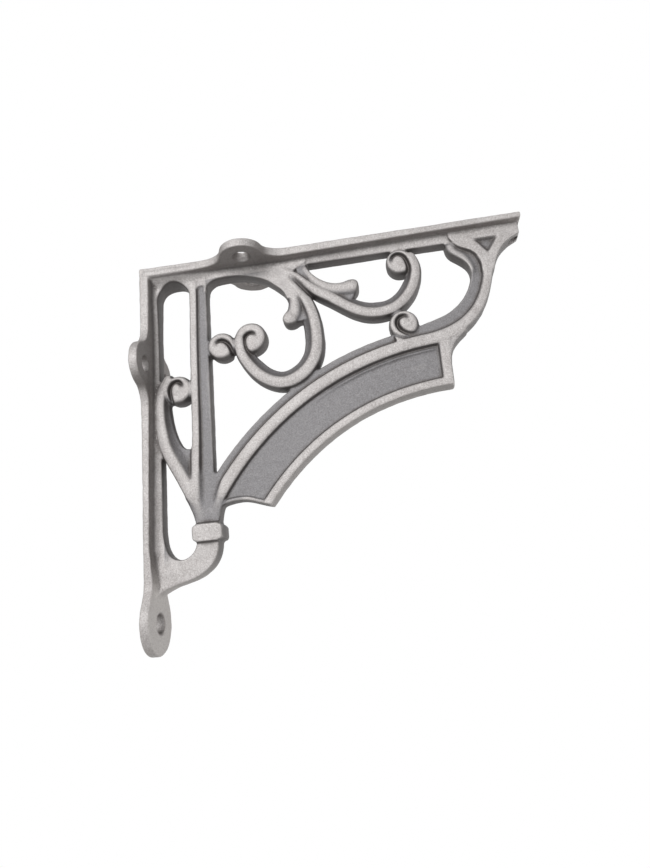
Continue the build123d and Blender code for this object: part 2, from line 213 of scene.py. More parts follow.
def depth(*parts, room=7.0):
    """How deep the lattice lies inside an outline that is put together from lines."""
    loop = np.concatenate([np.array(part, float).reshape(-1, 2) for part in parts])
    place = around(loop, room)
    whole = np.full(X.shape, far)
    whole[place] = depth_in(loop, X[place], Z[place])
    return whole


def box_depth(x0, x1, z0, z1):
    """How deep the lattice lies inside an upright box."""
    return np.minimum(np.minimum(X - x0, x1 - X), np.minimum(Z - z0, z1 - Z))


def disc_depth(centre, radius):
    """How deep the lattice lies inside a disc."""
    return radius - np.hypot(X - centre[0], Z - centre[1])


print(f"a disc of 5 mm covers {np.sum(disc_depth((20, -20), 5) > 0) * voxel ** 2:.1f} mm2")

# %% [markdown]
# Two shapes are joined or cut with these rules.  meet keeps what is inside both and rounds the edge
# where they meet.  join keeps what is inside either and lays a fillet in the corner.  blend does the
# same for heights, with a gentler fillet.

# %% Ways to put shapes together


def meet(a, b, radius):
    """What is inside both, with a rounded edge."""
    return np.maximum(radius, np.minimum(a, b)) - np.hypot(np.maximum(radius - a, 0), np.maximum(radius - b, 0))


def join(a, b, radius):
    """What is inside either, with a fillet in the corner."""
    return np.minimum(-radius, np.maximum(a, b)) + np.hypot(np.maximum(radius + a, 0), np.maximum(radius + b, 0))


def blend(a, b, width=0.5):
    """The higher of two heights, with a soft change from one to the other."""
    near = np.maximum(width - np.abs(a - b), 0) / width
    return np.maximum(a, b) + near * near * width / 4


print("two faces at right angles are rounded to", round(float(meet(0.3, 0.3, 1.0)), 2), "mm at 0.3 mm deep")

# %% [markdown]
# Sand gives no sharp edges.  blur softens a drawing all over, ease starts and ends a change softly,
# rounding wears an edge round, stroke draws a groove or a bead, and raised lets a member drop
# steeply to its neighbour.

# %% Softness


def blur(drawing, spread):
    """A drawing softened over a spread in millimetres."""
    reach_out = int(3 * spread / voxel) + 1
    steps = np.arange(-reach_out, reach_out + 1)
    weights = np.exp(-0.5 * (steps * voxel / spread) ** 2)
    weights /= weights.sum()
    for axis in (0, 1):
        padded = np.pad(drawing, [(reach_out, reach_out) if a == axis else (0, 0) for a in (0, 1)], mode="edge")
        size = drawing.shape[axis]
        drawing = sum(w * np.take(padded, range(n, n + size), axis=axis) for n, w in enumerate(weights))
    return drawing


def ease(share):
    """0 to 1 with a soft start and end."""
    share = np.clip(share, 0, 1)
    return share * share * (3 - 2 * share)


def rounding(inside, width):
    """1 at a member's edge, falling to 0 at a given width inside it, for edges worn round."""
    return (1 - np.clip(inside / width, 0, 1)) ** 2


def stroke(away, width):
    """1 on a line, dying out on both sides of it, for grooves and beads."""
    return np.exp(-(away / width) ** 2)


cliff = 2.4    # how steeply a raised member drops to its neighbour


def raised(inside, height):
    """A member's height, falling off steeply beyond its own outline."""
    return height + cliff * np.minimum(inside, 0)


print("half way, ease gives", float(ease(0.5)), "and a quarter of the way", float(ease(0.25)))

# %% [markdown]
# Heights of the relief, each side of the parting plane, read off the real casting: the crests of
# ribs and scrolls stand proud, the webs between them lie lower, and the blind pockets lowest.

# %% Heights of the relief
crest = span("ring_scroll", 1)[1]
web = 2.35
recess = 1.4
plain = span("strut", 1)[1] - 0.6
floor_of_panel = 2.3
rim = span("panel_shoulder", 1)[1]
leg_half = span("leg", 1)[1]
collar_half = span("collar", 1)[1]
print(f"crests stand {crest:.1f} mm from the parting plane, webs {web} mm")

# %% [markdown]
# Each member adds an outline and a relief.  They are kept in the order in which the solids were cut
# against each other, so that every piece made later stays on its own solid.

# %% A list for the members
members = {}


def add(name, inside, height):
    members[name] = (inside, height)


def report(*names):
    for name in names:
        inside, height = members[name]
        print(f"{name}: {np.sum(inside > 0) * voxel ** 2:.0f} mm2 seen from the front, "
              f"stands {np.max(np.where(inside > 0.6, height, 0)):.1f} mm")


# %% [markdown]
# The flanges are strips with a rail behind each.  A rail runs out in a hollow curve, called a cove,
# from the flange down to its free edge, because a sharp inner corner would crack in the mould.  In
# the top corner the web is filled out nearly to the edge of the flanges.

# %% Corner and rails
shelf_thick_root, shelf_thick_tip = -span("shelf_ear_left", 2)[0], 2.4
wall_thick_top, wall_thick_low, tab_thick = span("wall_ear_left", 0)[1], 2.6, span("bottom_tab", 0)[1]
slot_radius = (19.8 - wall_rail_x) / 2
slot_centre = (wall_rail_x + slot_radius, -rail_low - slot_radius)


def shelf_thickness(x):
    return np.interp(x, [shelf_hole_out + 17, reach], [shelf_thick_root, shelf_thick_tip])


def wall_thickness(z):
    return np.interp(-z, [wall_hole_down, -collar_box[1][0], -shoulder_z],
                     [wall_thick_top, wall_thick_low, tab_thick])


def cove(root, edge, out, hollowness=1.8):
    """Height of a rail from its root to its edge, in a hollow curve."""
    return edge + (root - edge) * (1 - np.clip(out, 0, 1)) ** hollowness


corner_outline = np.minimum(box_depth(1.6, strut_right, slot_centre[1], -1.6),
                            -disc_depth(slot_centre, slot_radius))
below_flange = -Z - shelf_thick_root
filled = ease((31 - X) / 16)
rail_edge = 2.75 + 0.8 * ease((58 - X) / 30)
corner_fill = cove(5.2 + 1.8 * filled, rail_edge, below_flange / (3.2 + 1.8 * filled), 1.8 - 0.5 * filled)
niche = np.minimum(disc_depth((25.3, -12.3), 2.4), X - 23.1)
niche = np.maximum(niche, np.where(Z < -12.3, np.minimum(X - 23.1, 27.6 - X), far))
add("corner_block", corner_outline, corner_fill - 0.8 * ease(0.5 + niche / 0.8))

tip_share = np.clip((X - strut_right) / (reach - strut_right), 0, 1)
rail_out = (-Z - shelf_thickness(X)) / (rail_low - shelf_thickness(X) + 1.8 * filled)
add("shelf_rail", box_depth(strut_right - 1, reach - 0.9, -rail_low, -1.4),
    cove(5.2 + 1.8 * filled - 1.7 * tip_share, rail_edge, rail_out, 1.8 - 0.5 * filled))

wall_out = (X - wall_thickness(Z)) / (wall_rail_x - wall_thickness(Z))
wall_height = cove(5.0 + 1.4 * ease((Z + 34) / 24), 2.7 + 0.85 * ease((Z + 30) / 18), wall_out)
add("wall_rail", box_depth(1.3, wall_rail_x, -118, slot_centre[1] + 1), wall_height)
beside_wall = wall_height - cliff * np.maximum(X - wall_rail_x - 0.3, 0)
members["corner_block"] = (corner_outline, np.maximum(members["corner_block"][1], beside_wall))

report("corner_block", "shelf_rail", "wall_rail")

# %% [markdown]
# The strut has two faces, a raised band on the left and a lower one on the right that begins in a
# round niche.  Further down the band sinks into the leg.

# %% Strut
strut_left = smooth_line([(19.8, -13.5), (19.3, -35), (19.1, -55), (18.8, -75), (18.3, -90),
                         (18.5, -98.5), (19.1, -104), (19.4, -108)])
strut_line, strut_side, _ = beside(strut_left, 14)
from_left = np.where(Z > -13.5, X - 19.8, strut_line * strut_side)
leg_height = leg_half - 0.45
landing = ease((-Z - 91) / 13)    # the band sinks to the leg's height on its way down
band = plain + 0.6 - (plain + 0.6 - leg_height) * landing - 0.3 * rounding(from_left, 1.2)
band = band + np.minimum(0, 1.9 * (3.15 - from_left))
second_face = 2.9 - 0.5 * ease((-Z - 50) / 40)
strut_relief = np.maximum(band, second_face) - 0.3 * stroke(from_left - 3.75, 0.4)
strut_right_line = [(23.0, -108), (25.0, -102), (strut_right, -96), (strut_right, -7.6)]
add("strut", depth([(19.8, -7.6)], strut_left, strut_right_line), strut_relief)
report("strut")

# %% [markdown]
# Below the open work a short leg comes out of the throat where strut, wall scroll and arch meet, a
# square collar is laid round it, and the foot bends back to the wall flange like an elbow.

# %% Leg, collar and foot
(collar_left, collar_right), (collar_low, collar_top) = collar_box
collar_outline = meet(np.minimum(X - collar_left, collar_right - X),
                      np.minimum(Z - collar_low, collar_top - Z), 1.6)
add("collar", collar_outline, collar_half + 0 * X)

leg_line_left = smooth_line([(leg_left - 4.6, -97.0), (leg_left - 1.9, -102.5), (leg_left - 0.5, -107.4),
                             (leg_left - 0.2, -111)])
leg_line_right = smooth_line([(leg_right + 3.4, -97.2), (leg_right + 1.6, -101.5), (leg_right + 0.5, -106),
                              (leg_right + 0.1, -111)])
add("leg", depth(leg_line_left, leg_line_right[::-1]), 2.4 + (leg_height - 2.4) * ease((-Z - 96.5) / 7.5))

hollow = smooth_line([(leg_left, -112), (leg_left - 1.0, -116.6), (leg_left - 3.6, -119.4), (13.3, -120.2),
                      (9.4, -118.4), (wall_rail_x + 0.5, -113.5), (wall_rail_x, -109)])
heel = smooth_line([(leg_right + 0.1, -112), (leg_right - 0.1, -116.5), (leg_right - 1.8, -121.6),
                    (leg_right - 5.4, -125.4), (leg_right - 10.4, -127.9), (leg_right - 16.6, -129.5),
                    (leg_right - 21.0, -131.2), (tab_thick, -133.0)])
foot_outline = depth(hollow, [(1.4, -109), (1.4, -133.0)], heel[::-1])
foot_height = 2.75 + 0.95 * np.maximum(ease((X - 5) / 10), ease((-Z - 111) / 14))
add("foot", foot_outline, np.maximum(foot_height, cove(5.0, 2.7, wall_out)))
report("collar", "leg", "foot")

# %% [markdown]
# Under the tip the brace ends in a solid gusset with a three-sided pocket, like the print of a
# small pyramid.  It was left hollow to keep the metal there from cooling too slowly.

# %% Tip gusset
gusset_inner = smooth_line([(127, -5), (130, -9), (135, -12), (137.6, -16), (137.9, -21.5)])
gusset_outer = smooth_line([(154.4, -7.2), (150.4, -9.3), (146.8, -12.4), (144.3, -16.8), (142.6, -21.5)])
gusset_outline = depth(gusset_inner, gusset_outer[::-1], [(154.4, -3), (127, -3)])
pocket_corners = np.array([(135.8, -6.9), (146.3, -6.9), (141.2, -14.3)])
pocket_low = np.array((141.0, -9.4))
pocket_depth = np.full(X.shape, far)
pocket_place = around(pocket_corners, 2)
slopes = []
for a, b in zip(pocket_corners, np.roll(pocket_corners, -1, axis=0)):
    way = (b - a) / np.hypot(*(b - a))
    inward = np.array((-way[1], way[0]))
    inward = inward if np.dot(pocket_low - a, inward) > 0 else -inward
    in_from_edge = (X[pocket_place] - a[0]) * inward[0] + (Z[pocket_place] - a[1]) * inward[1]
    slopes.append(in_from_edge / np.dot(pocket_low - a, inward))
pocket_depth[pocket_place] = 3.0 * np.min(slopes, axis=0)
gusset_height = crest - 0.3 * ease((X - 146) / 6) - np.maximum(pocket_depth, 0)
add("tip_gusset", gusset_outline, gusset_height)
report("tip_gusset")

# %% [markdown]
# Both large scrolls spring from one plate under the rail.  Its lower edge sweeps down from the
# strut and becomes the first of the scrolls.

# %% Root of the scrolls
root_line = smooth_line([(strut_right, -12.6), (strut_right + 0.5, -10.2), (29.2, -8.5), (33, -7.5), (37, -7.3),
                         (42, -7.8), (47, -9.2), (52, -11.5), (56, -14.8), (59.2, -18.3), (60.4, -21)])
root_outline = depth(root_line, [(66.5, -20.5), (61.5, -10.3), (69, -6.0), (69, -4), (strut_right - 1, -4),
                                 (strut_right - 1, -12.6)])
add("scroll_root", root_outline, 3.3 + 0.3 * ease((X - 45) / 12))
report("scroll_root")

# %% [markdown]
# A rolled end, or volute, is a disc with a domed eye.  A groove runs in from the hollow side of its
# scroll, winds round the eye and dies out, and what is left between groove and edge reads as the
# crest that rolls up.  The groove follows a line, so it is cut with the distance to that line.

# %% Rolled ends


def rolled_end(centre, radius, eye, eye_radius, groove):
    """Outline and relief of a rolled end with an eye, and a groove that fades at both its ends."""
    inside = disc_depth(centre, radius)
    relief = crest - 1.2 * rounding(inside, 1.7)
    from_eye = np.hypot(X - eye[0], Z - eye[1]) / eye_radius
    relief = relief + 0.3 * np.clip(1 - from_eye ** 2, 0, 1)
    away, _, run = beside(smooth_line(groove))
    strength = ease(run / 0.12) * ease((1 - run) / 0.3)
    return inside, relief - 1.9 * strength * stroke(away, 0.66)


add("ring_scroll_left_volute", *rolled_end(
    (32.4, -37.4), 5.8, (31.6, -38.3), 3.2,
    [(37.6, -44.0), (36.8, -41.0), (35.8, -38.0), (34.0, -35.9), (31.9, -35.3), (30.2, -36.5), (30.0, -38.2)]))
add("ring_scroll_right_volute", *rolled_end(
    (44.4, -35.6), 6.6, (45.6, -37.0), 3.5,
    [(46.0, -44.5), (43.2, -42.0), (41.9, -39.2), (41.9, -36.2), (43.4, -34.1), (45.5, -33.9), (46.9, -35.2),
     (46.6, -36.6)]))
add("shelf_scroll_volute", *rolled_end(
    (106.6, -11.9), 5.5, (106.4, -11.8), 2.8,
    [(109.4, -19.0), (109.9, -15.6), (109.5, -12.4), (108.1, -9.7), (106.0, -8.7), (104.0, -9.6), (103.3, -11.6),
     (104.1, -13.4)]))
add("tip_brace_volute", *rolled_end(
    (105.2, -38.7), 5.9, (106.0, -38.0), 3.1,
    [(110.5, -44.0), (107.2, -43.3), (104.5, -41.8), (102.9, -39.4), (103.0, -36.9), (104.7, -35.5),
     (106.7, -35.9), (107.4, -37.4), (106.8, -38.6)]))
add("wall_scroll_volute", *rolled_end(
    (13.9, -53.6), 5.9, (13.4, -53.5), 2.9,
    [(11.8, -60.0), (10.9, -56.5), (10.7, -53.4), (11.8, -51.1), (13.6, -50.3), (15.2, -51.3), (15.6, -53.0),
     (14.8, -54.2)]))
report("ring_scroll_right_volute", "shelf_scroll_volute", "tip_brace_volute", "wall_scroll_volute")

# %% [markdown]
# The arch and its panel are rings about one centre, so their distances are simple circles.  The
# arch has a high crest and a lower web above it.

# %% Arch
arch_centre = (122.8, -157.5)
panel_radius, panel_rim_radius, arch_radius, arch_top, web_top = 91.6, 95.0, 109.0, 113.6, 117.4
ring = np.hypot(X - arch_centre[0], Z - arch_centre[1])
arch_start = radians(149.8)
past_start = sin(arch_start) * (X - arch_centre[0]) - cos(arch_start) * (Z - arch_centre[1])
arch_ends = np.minimum(past_start, 104.5 - X)
arch_outline = np.minimum(np.minimum(ring - arch_radius, web_top - ring), arch_ends)
crest_ring = np.minimum(ring - arch_radius, arch_top - ring)
crest_start = 0.8 * ease(1 - past_start / 9)


def arch_crest(inside):
    """Height of the arch's crest, which sinks where it starts and is worn round at its edges."""
    return raised(inside, crest - crest_start - 0.25 * rounding(inside, 2.2))


arch_relief = np.maximum(web, arch_crest(crest_ring)) - 0.35 * stroke(ring - arch_top - 0.75, 0.4)
add("arch_rib", arch_outline, arch_relief)
report("arch_rib")

# %% [markdown]
# The tip brace carries the arch on to the tip of the shelf flange.  Its crest lies on the outside of
# the bend and its lower face on the inside, and a small lobe runs down from the rail.

# %% Tip brace
brace_hollow = smooth_line([(100.6, -41.6), (107.5, -41.0), (114.5, -39.0), (120, -37.4), (125.5, -34.4),
                            (129.8, -30), (132.6, -24.5), (133.4, -20.3), (132, -16.6), (128.5, -13.4),
                            (125.6, -10.4), (124.9, -5.5)])
brace_inner = smooth_line([(100.8, -43.4), (105.5, -45.0), (112, -44.4), (120, -42.8), (128, -39.0), (133.6, -33),
                           (137, -25.5), (137.8, -18.5), (136.4, -14.4)])
brace_outer = smooth_line([(103, -49.8), (112, -48.9), (121, -47.6), (129, -43.9), (135.6, -37.4), (139.8, -29.5),
                           (142.8, -20), (144.0, -16.5)])
brace_outline = depth(brace_hollow, [(144.0, -5.5)], brace_outer[::-1])
crest_part = depth(brace_inner, brace_outer[::-1])
lobe = smooth_line([(127.0, -8.6), (128.0, -10.8), (130.2, -12.8), (132.4, -15.8), (133.6, -19.5), (133.4, -23.5)])
lobe_away, _, lobe_run = beside(lobe)
brace_relief = np.maximum(web + 0.15, raised(crest_part, crest - 0.3 * rounding(crest_part, 1.8)))
brace_relief = blend(brace_relief, 3.45 - 0.35 * (lobe_away / 1.3) ** 2 - 0.9 * ease((lobe_run - 0.75) / 0.25), 0.4)
inner_away, _, inner_run = beside(brace_inner)
brace_relief = brace_relief - 0.35 * ease(inner_run / 0.1) * stroke(inner_away, 0.5)
add("tip_brace", brace_outline, brace_relief)
report("tip_brace")

# %% [markdown]
# The panel below the arch is a bare sunken floor inside a raised rim.  A fine bead and a groove lie
# under the crest; the bead fades out towards the wall, where the panel ends in a wavy lip.

# %% Panel and shoulder
end_line = smooth_line([(24, -101.8), (29, -101.6), (32, -101.1), (36, -100.6), (40, -101), (44, -102.3),
                        (48.7, -103.7), (54, -105.2)])
below_end, end_side, _ = beside(end_line, 24)
panel_end = np.where((X < 60) & (Z < -70), below_end * end_side, -far)
panel_outline = np.minimum(np.minimum(ring - panel_radius, arch_radius + 0.6 - ring),
                           np.minimum(panel_right - X, panel_end))
panel_outline = np.minimum(panel_outline, np.minimum(X - leg_right + 4, Z + 108))
rim_inside = np.maximum(panel_rim_radius - ring, X - (panel_right - 3.9))
lip = np.minimum(1.5 - panel_end, (X - 30) * 0.5)
panel_relief = np.maximum(floor_of_panel, raised(rim_inside, rim - 0.25 * rounding(rim_inside, 1.6)))
panel_relief = np.maximum(panel_relief, raised(lip, 3.0))
rightward = ease((X - 60) / 30)
bead = 0.75 * rightward * stroke(ring - 107.2, 0.55) * ease((panel_right - 4.5 - X) / 2)
groove_under_crest = 0.5 * stroke(ring - 108.7, 0.45) * ease((panel_right - 3.0 - X) / 2)
panel_relief = panel_relief + bead - groove_under_crest
add("curved_panel", panel_outline, panel_relief)

shoulder_line = smooth_line([(panel_right - 0.6, -61), (panel_right, -57.5), (panel_right + 0.5, -53.6),
                             (panel_right + 1.8, -50.3), (panel_right + 4.0, -47.6), (panel_right + 7.5, -44.5)])
shoulder_outline = depth(shoulder_line, [(panel_right - 1, -44.5)])
add("panel_shoulder", shoulder_outline, rim - 0.15 + 0 * X)
report("curved_panel", "panel_shoulder")

# %% [markdown]
# A plain leaf lies in the crook of each large scroll: a rounded ridge that swells to a knob.

# %% Leaves


def leaf(outline, ridge, knob, knob_radius):
    """A leaf's relief: a ridge along a line, with a knob at its end, over a lower face."""
    away, _, run = beside(smooth_line(ridge))
    width = 1.5 + 2.0 * run
    ridge_top = (0.4 + 0.8 * ease(run / 0.3)) * np.clip(1 - (away / width) ** 2, 0, 1) ** 0.7
    relief = 2.6 + 0.5 * (1 - ease(run / 0.35)) + ridge_top
    ball = np.clip(1 - ((X - knob[0]) ** 2 + (Z - knob[1]) ** 2) / knob_radius ** 2, 0, 1)
    return outline, np.maximum(relief, 2.4 + 1.75 * np.sqrt(ball))


ring_leaf = depth(smooth_line([(57, -13), (60.0, -18.6), (60.5, -22.6), (59.6, -26.0), (58.0, -28.2), (57.7, -30.3),
                               (59.0, -32.0), (61.6, -32.3), (64.2, -31.6), (67.4, -30.4)]),
                  [(69, -27), (66.5, -20), (62, -13)])
add("ring_scroll_leaf", *leaf(ring_leaf, [(61.8, -15.5), (62.9, -19.5), (63.3, -23.5), (62.7, -27), (60.9, -29.6)],
                              (60.9, -29.3), 3.5))
shelf_leaf = depth(smooth_line([(68.5, -5.5), (70.6, -10.3), (75, -14.7), (79, -16.7), (83, -17.1), (86.4, -16.2),
                                (88.8, -16.9), (89.6, -19.2), (88.7, -21.8), (86.4, -24.6)]),
                   [(82, -25.5), (74, -20.5), (66, -13), (64.5, -6)])
add("shelf_scroll_leaf", *leaf(shelf_leaf, [(68.6, -9), (72.4, -14.6), (77, -18), (82, -19.4), (87, -19.3)],
                               (87.2, -19.3), 2.9))
report("ring_scroll_leaf", "shelf_scroll_leaf")

# %% [markdown]
# A scroll is a rib with a lopsided section that follows a curved line: a flat crest, a hollow
# slope on the inside of the curl, like a dish, and a short steep flank on the outside.

# %% Section of a scroll


def scroll(path, hollow_left, half_crest, dish, flank, spring=0.13, sink=0):
    """Outline and relief of a scroll; the widths are given at shares of the way along it.

    Over the share spring it rises out of its root, and at its far end it drops by sink."""
    edge = 1.35
    away, side, run = beside(smooth_line(path))
    hollow_side = side * (1 if hollow_left else -1)
    half = np.interp(run, *half_crest)
    dish_width = np.interp(run, *dish)
    flank_width = np.interp(run, *flank)
    inside = np.where(hollow_side > 0, half + dish_width, half + flank_width) - away
    down = np.clip((away - half) / dish_width, 0, 1)
    dished = edge + (crest - edge) * (1 - down) ** 1.5
    over = np.clip((away - half) / flank_width, 0, 1)
    rounded = edge + 0.4 + (crest - edge - 0.4) * np.sqrt(np.clip(1 - over ** 2, 0, 1))
    crowned = crest + 0.3 * (1 - (np.minimum(away, half) / half) ** 2)
    relief = np.where(away < half, crowned, np.where(hollow_side > 0, dished, rounded)) - 0.1
    relief = relief - 0.75 * (1 - ease(run / spring)) if spring else relief
    relief = relief - sink * ease((run - 0.8) / 0.2)
    return inside, raised(inside, relief)


ends = [0, 1]
_, trial = scroll([(40, -60), (45, -60), (50, -60)], True, (ends, [1.5, 1.5]), (ends, [3, 3]), (ends, [1, 1]))
print(f"a scroll stands {np.max(trial):.1f} mm at its crest")

# %% [markdown]
# Three scrolls share that section.  Each has its own path and its own widths along it, and the dish
# is widest in the middle of a bend.

# %% The three scrolls
ring_path = [(56.5, -7.5), (58.5, -9.5), (62.5, -14.5), (66.3, -20), (68.6, -25), (70.0, -30), (70.7, -37),
             (70.2, -44), (67.6, -49.8), (63, -54.0), (57, -55.9), (50.8, -54.2), (45.7, -50), (42.3, -45.2),
             (40.2, -40), (40, -36)]
shelf_path = [(57, -5.5), (60, -8), (64.5, -11.5), (68.5, -15.5), (72.5, -19), (77.3, -22.4), (82.5, -26.4),
              (87.5, -29.8), (92.5, -31.8), (97.5, -32.2), (102.5, -31), (107, -27.8), (110.2, -23.5), (112, -18.5),
              (112.2, -14), (111, -10.5)]
wall_path = [(10.2, -49.2), (8.6, -51.5), (7.1, -55.5), (6.6, -61), (6.9, -67), (7.8, -73), (9.3, -78.5),
             (12.2, -84.5), (15.1, -90), (17.8, -95.5), (20.0, -100.5), (21.4, -105)]
add("ring_scroll", *scroll(ring_path, False, ([0, 0.3, 0.62, 0.85, 1], [1.2, 1.45, 1.8, 1.6, 1.5]),
                           ([0, 0.12, 0.3, 0.6, 0.85, 1], [0.8, 1.6, 3.1, 3.4, 3.2, 1.6]),
                           ([0, 0.2, 0.5, 1], [0.9, 1.6, 1.6, 1.1])))
add("shelf_scroll", *scroll(shelf_path, True, ([0, 0.3, 0.8, 1], [1.2, 1.55, 1.55, 1.3]),
                            ([0, 0.2, 0.35, 0.6, 0.85, 1], [0.7, 1.0, 2.8, 3.9, 3.0, 1.2]),
                            ([0, 0.2, 0.6, 1], [0.7, 1.2, 1.1, 1.2])))
add("wall_scroll", *scroll(wall_path, True, ([0, 0.5, 0.85, 1], [1.4, 1.7, 1.9, 1.5]),
                           ([0, 0.15, 0.3, 0.42, 0.55, 0.7, 1], [1.0, 1.9, 2.5, 3.2, 4.3, 4.0, 1.0]),
                           ([0, 0.5, 1], [1.2, 1.3, 1.0]), spring=0, sink=1.0))

recess_outline = depth(smooth_line([(10, -76), (12.5, -82.5), (17, -92)]),
                       smooth_line([(20.4, -76.6), (17.8, -77.7), (15.6, -77.4), (13.4, -76)]))
add("wall_recess", recess_outline, recess + 0 * X)
report("ring_scroll", "shelf_scroll", "wall_scroll", "wall_recess")

# %% [markdown]
# Now the drawings are put together.  Members that share a straight edge are simply laid over each
# other; scrolls, leaves and the arch are joined to them with a fillet in every corner, as the
# pattern maker did with wax.

# %% Outline of the whole open work
straight = ["corner_block", "shelf_rail", "wall_rail", "strut", "leg", "foot", "collar"]
in_line = ["arch_rib", "curved_panel", "panel_shoulder"]
fillet = 1.0
open_work = np.max([members[name][0] for name in straight], axis=0)
arch_part = np.max([members[name][0] for name in in_line], axis=0)
open_work = join(open_work, members["scroll_root"][0], 0.5)
open_work = np.max([open_work, members["tip_gusset"][0], members["tip_brace"][0]], axis=0)
open_work = join(open_work, arch_part, 1.2)
for name in ("ring_scroll", "shelf_scroll", "wall_scroll", "ring_scroll_leaf", "shelf_scroll_leaf"):
    open_work = join(open_work, members[name][0], fillet)
for name in members:
    if name.endswith("volute"):
        open_work = join(open_work, members[name][0], 0.8)
open_work = join(open_work, members["wall_recess"][0], 0.6)
crest_run = np.minimum(crest_ring, np.minimum(past_start, panel_right + 0.5 - X))
open_work = np.maximum(blur(open_work, 0.3), crest_run)
print(f"open work seen from the front: {np.sum(open_work > 0) * voxel ** 2:.0f} mm2")

# %% [markdown]
# The reliefs are laid over each other in the same way.  The crest of the arch runs on across the end
# of the panel.

# %% Relief of the whole open work
relief = np.full(X.shape, -6.0)
for name, (inside, height) in members.items():
    relief = blend(relief, raised(inside, height), 0.4)
relief = blend(relief, arch_crest(crest_run), 0.3)

# The throat between strut and arch is a V that runs out on the leg, and all edges are softer there.
throat = depth([(23.6, -84), (24.1, -92), (25.0, -97.5), (26.0, -101.8), (27.3, -98.0), (29.3, -92.5), (33, -86)])
relief = np.where((throat > -1) & (Z < -84.5), np.minimum(relief, np.maximum(2.35, 3.1 - 1.4 * throat)), relief)
soft_place = ease((-Z - 84) / 6) * ease((Z + 106.5) / 3) * ease((X - 16.5) / 3) * ease((30.5 - X) / 3)
relief = relief + soft_place * (blur(relief, 0.6) - relief)

# A shallow groove parts the two large scrolls where they leave their root.
away, _, run = beside(smooth_line([(61.0, -9.4), (63.6, -12.4), (66.4, -16.2), (69.6, -20.4)]))
relief = relief - 0.9 * ease(run / 0.5) * stroke(away, 0.8)
relief = blur(relief, 0.22)
print(f"the relief stands {np.max(relief[open_work > 0]):.1f} mm at most")

# %% [markdown]
# The plates are drawn face on as well: the wall flange with its ears and tab, and the shelf flange
# with its ears.  An ear swells out of the flange in an S-curve and ends round its screw hole.

# %% Outlines of an ear and of the tab


def swing(start, start_way, end, end_way, steps=24):
    """A smooth bend between two points with given directions (a cubic Hermite curve)."""
    start, end = np.array(start, float), np.array(end, float)
    size = np.hypot(*(end - start))
    t = np.linspace(0, 1, steps)[:, None]
    return ((2 * t ** 3 - 3 * t ** 2 + 1) * start + (t ** 3 - 2 * t ** 2 + t) * size * np.array(start_way)
            + (-2 * t ** 3 + 3 * t ** 2) * end + (t ** 3 - t ** 2) * size * np.array(end_way))


def arc(centre, radius, start, end, steps=40):
    angle = np.radians(np.linspace(start, end, steps))
    return np.stack([centre[0] + radius * np.cos(angle), centre[1] + radius * np.sin(angle)], 1)


nose = 9.0
nose_centre = (0.0, half_span - nose)
turn = radians(165)
ear_side = (nose * cos(turn), nose_centre[1] + nose * sin(turn))
flank_in = swing((-17, half_flange), (1, 0), ear_side, (sin(turn), -cos(turn)))
ear_loop = np.concatenate([flank_in, arc(nose_centre, nose, 165, 15), flank_in[::-1] * (-1, 1),
                           [(17, -half_flange), (-17, -half_flange)]])
tab_radius = 11.4
tab_z = tab_radius - drop
tab_side = (tab_radius * cos(radians(20)), tab_z + tab_radius * sin(radians(20)))
tab_flank = swing((half_flange, shoulder_z), (0, -1), tab_side, (sin(radians(20)), -cos(radians(20))))
tab_loop = np.concatenate([tab_flank, arc((0, tab_z), tab_radius, 20, -200), tab_flank[::-1] * (-1, 1),
                           [(-half_flange, shoulder_z + 8), (half_flange, shoulder_z + 8)]])
print("an ear in", len(ear_loop), "steps, the tab in", len(tab_loop))

# %% [markdown]
# Each plate is a strip with those outlines laid over it and the screw holes taken out.

# %% Outlines of the flanges
hole_out = 20.6 / 2    # from the middle plane to each ear's screw hole
wall_hole, tab_hole = 6.4 / 2, 7.2 / 2

YW, ZW = np.meshgrid(ys, zs, indexing="ij")
wall_shape = np.minimum(half_flange - YW, np.minimum(-ZW, ZW - shoulder_z + 4))
wall_shape = np.maximum(wall_shape, depth_in(ear_loop + (-wall_hole_down, 0), ZW, YW))
wall_shape = np.maximum(wall_shape, depth_in(tab_loop, YW, ZW))
for across, up, radius in ((hole_out, -wall_hole_down, wall_hole), (0, tab_z, tab_hole)):
    wall_shape = np.minimum(wall_shape, np.hypot(YW - across, ZW - up) - radius)

XS, YS = np.meshgrid(xs, ys, indexing="ij")
shelf_shape = np.minimum(half_flange - YS, np.minimum(XS, reach - XS))
shelf_shape = np.maximum(shelf_shape, depth_in(ear_loop + (shelf_hole_out, 0), XS, YS))
tip_hole_x, tip_hole_radius = reach - 2.9, 1.8
for title, plan in (("wall flange", wall_shape), ("shelf flange", shelf_shape)):
    print(f"{title}: {np.sum(plan > 0) * voxel ** 2 * 2:.0f} mm2")

# %% [markdown]
# A slow, weak waviness, the same wherever it is asked for, takes the ruled look away.  The other
# numbers here are the draft, which is the slope that lets a pattern leave the sand, and the soft
# edges.

# %% Waviness, draft and edges
rng = np.random.default_rng(7)
wave_sizes = ((34, 0.045), (21, 0.04), (13, 0.035), (8, 0.03), (5.5, 0.022), (3.8, 0.018), (4.4, 0.018))
waves = [(rng.normal(size=3), rng.uniform(0, 6.28), 2 * np.pi / size, amount) for size, amount in wave_sizes]
draft = 0.05
web_edge, plate_edge, web_fillet = 0.65, 0.7, 1.3
shelf_mouth, shelf_taper = 3.7, 0.36    # a shelf ear's hole at its underside, and how it narrows upwards


def waviness(x, y, z):
    """A few slow waves that run in different directions."""
    total = 0
    for way, phase, turns, amount in waves:
        way = way / np.linalg.norm(way)
        total = total + amount * np.sin(turns * (way[0] * x + way[1] * y + way[2] * z) + phase)
    return total


print("the surface wanders by up to", round(sum(amount for _, _, _, amount in waves), 2), "mm")

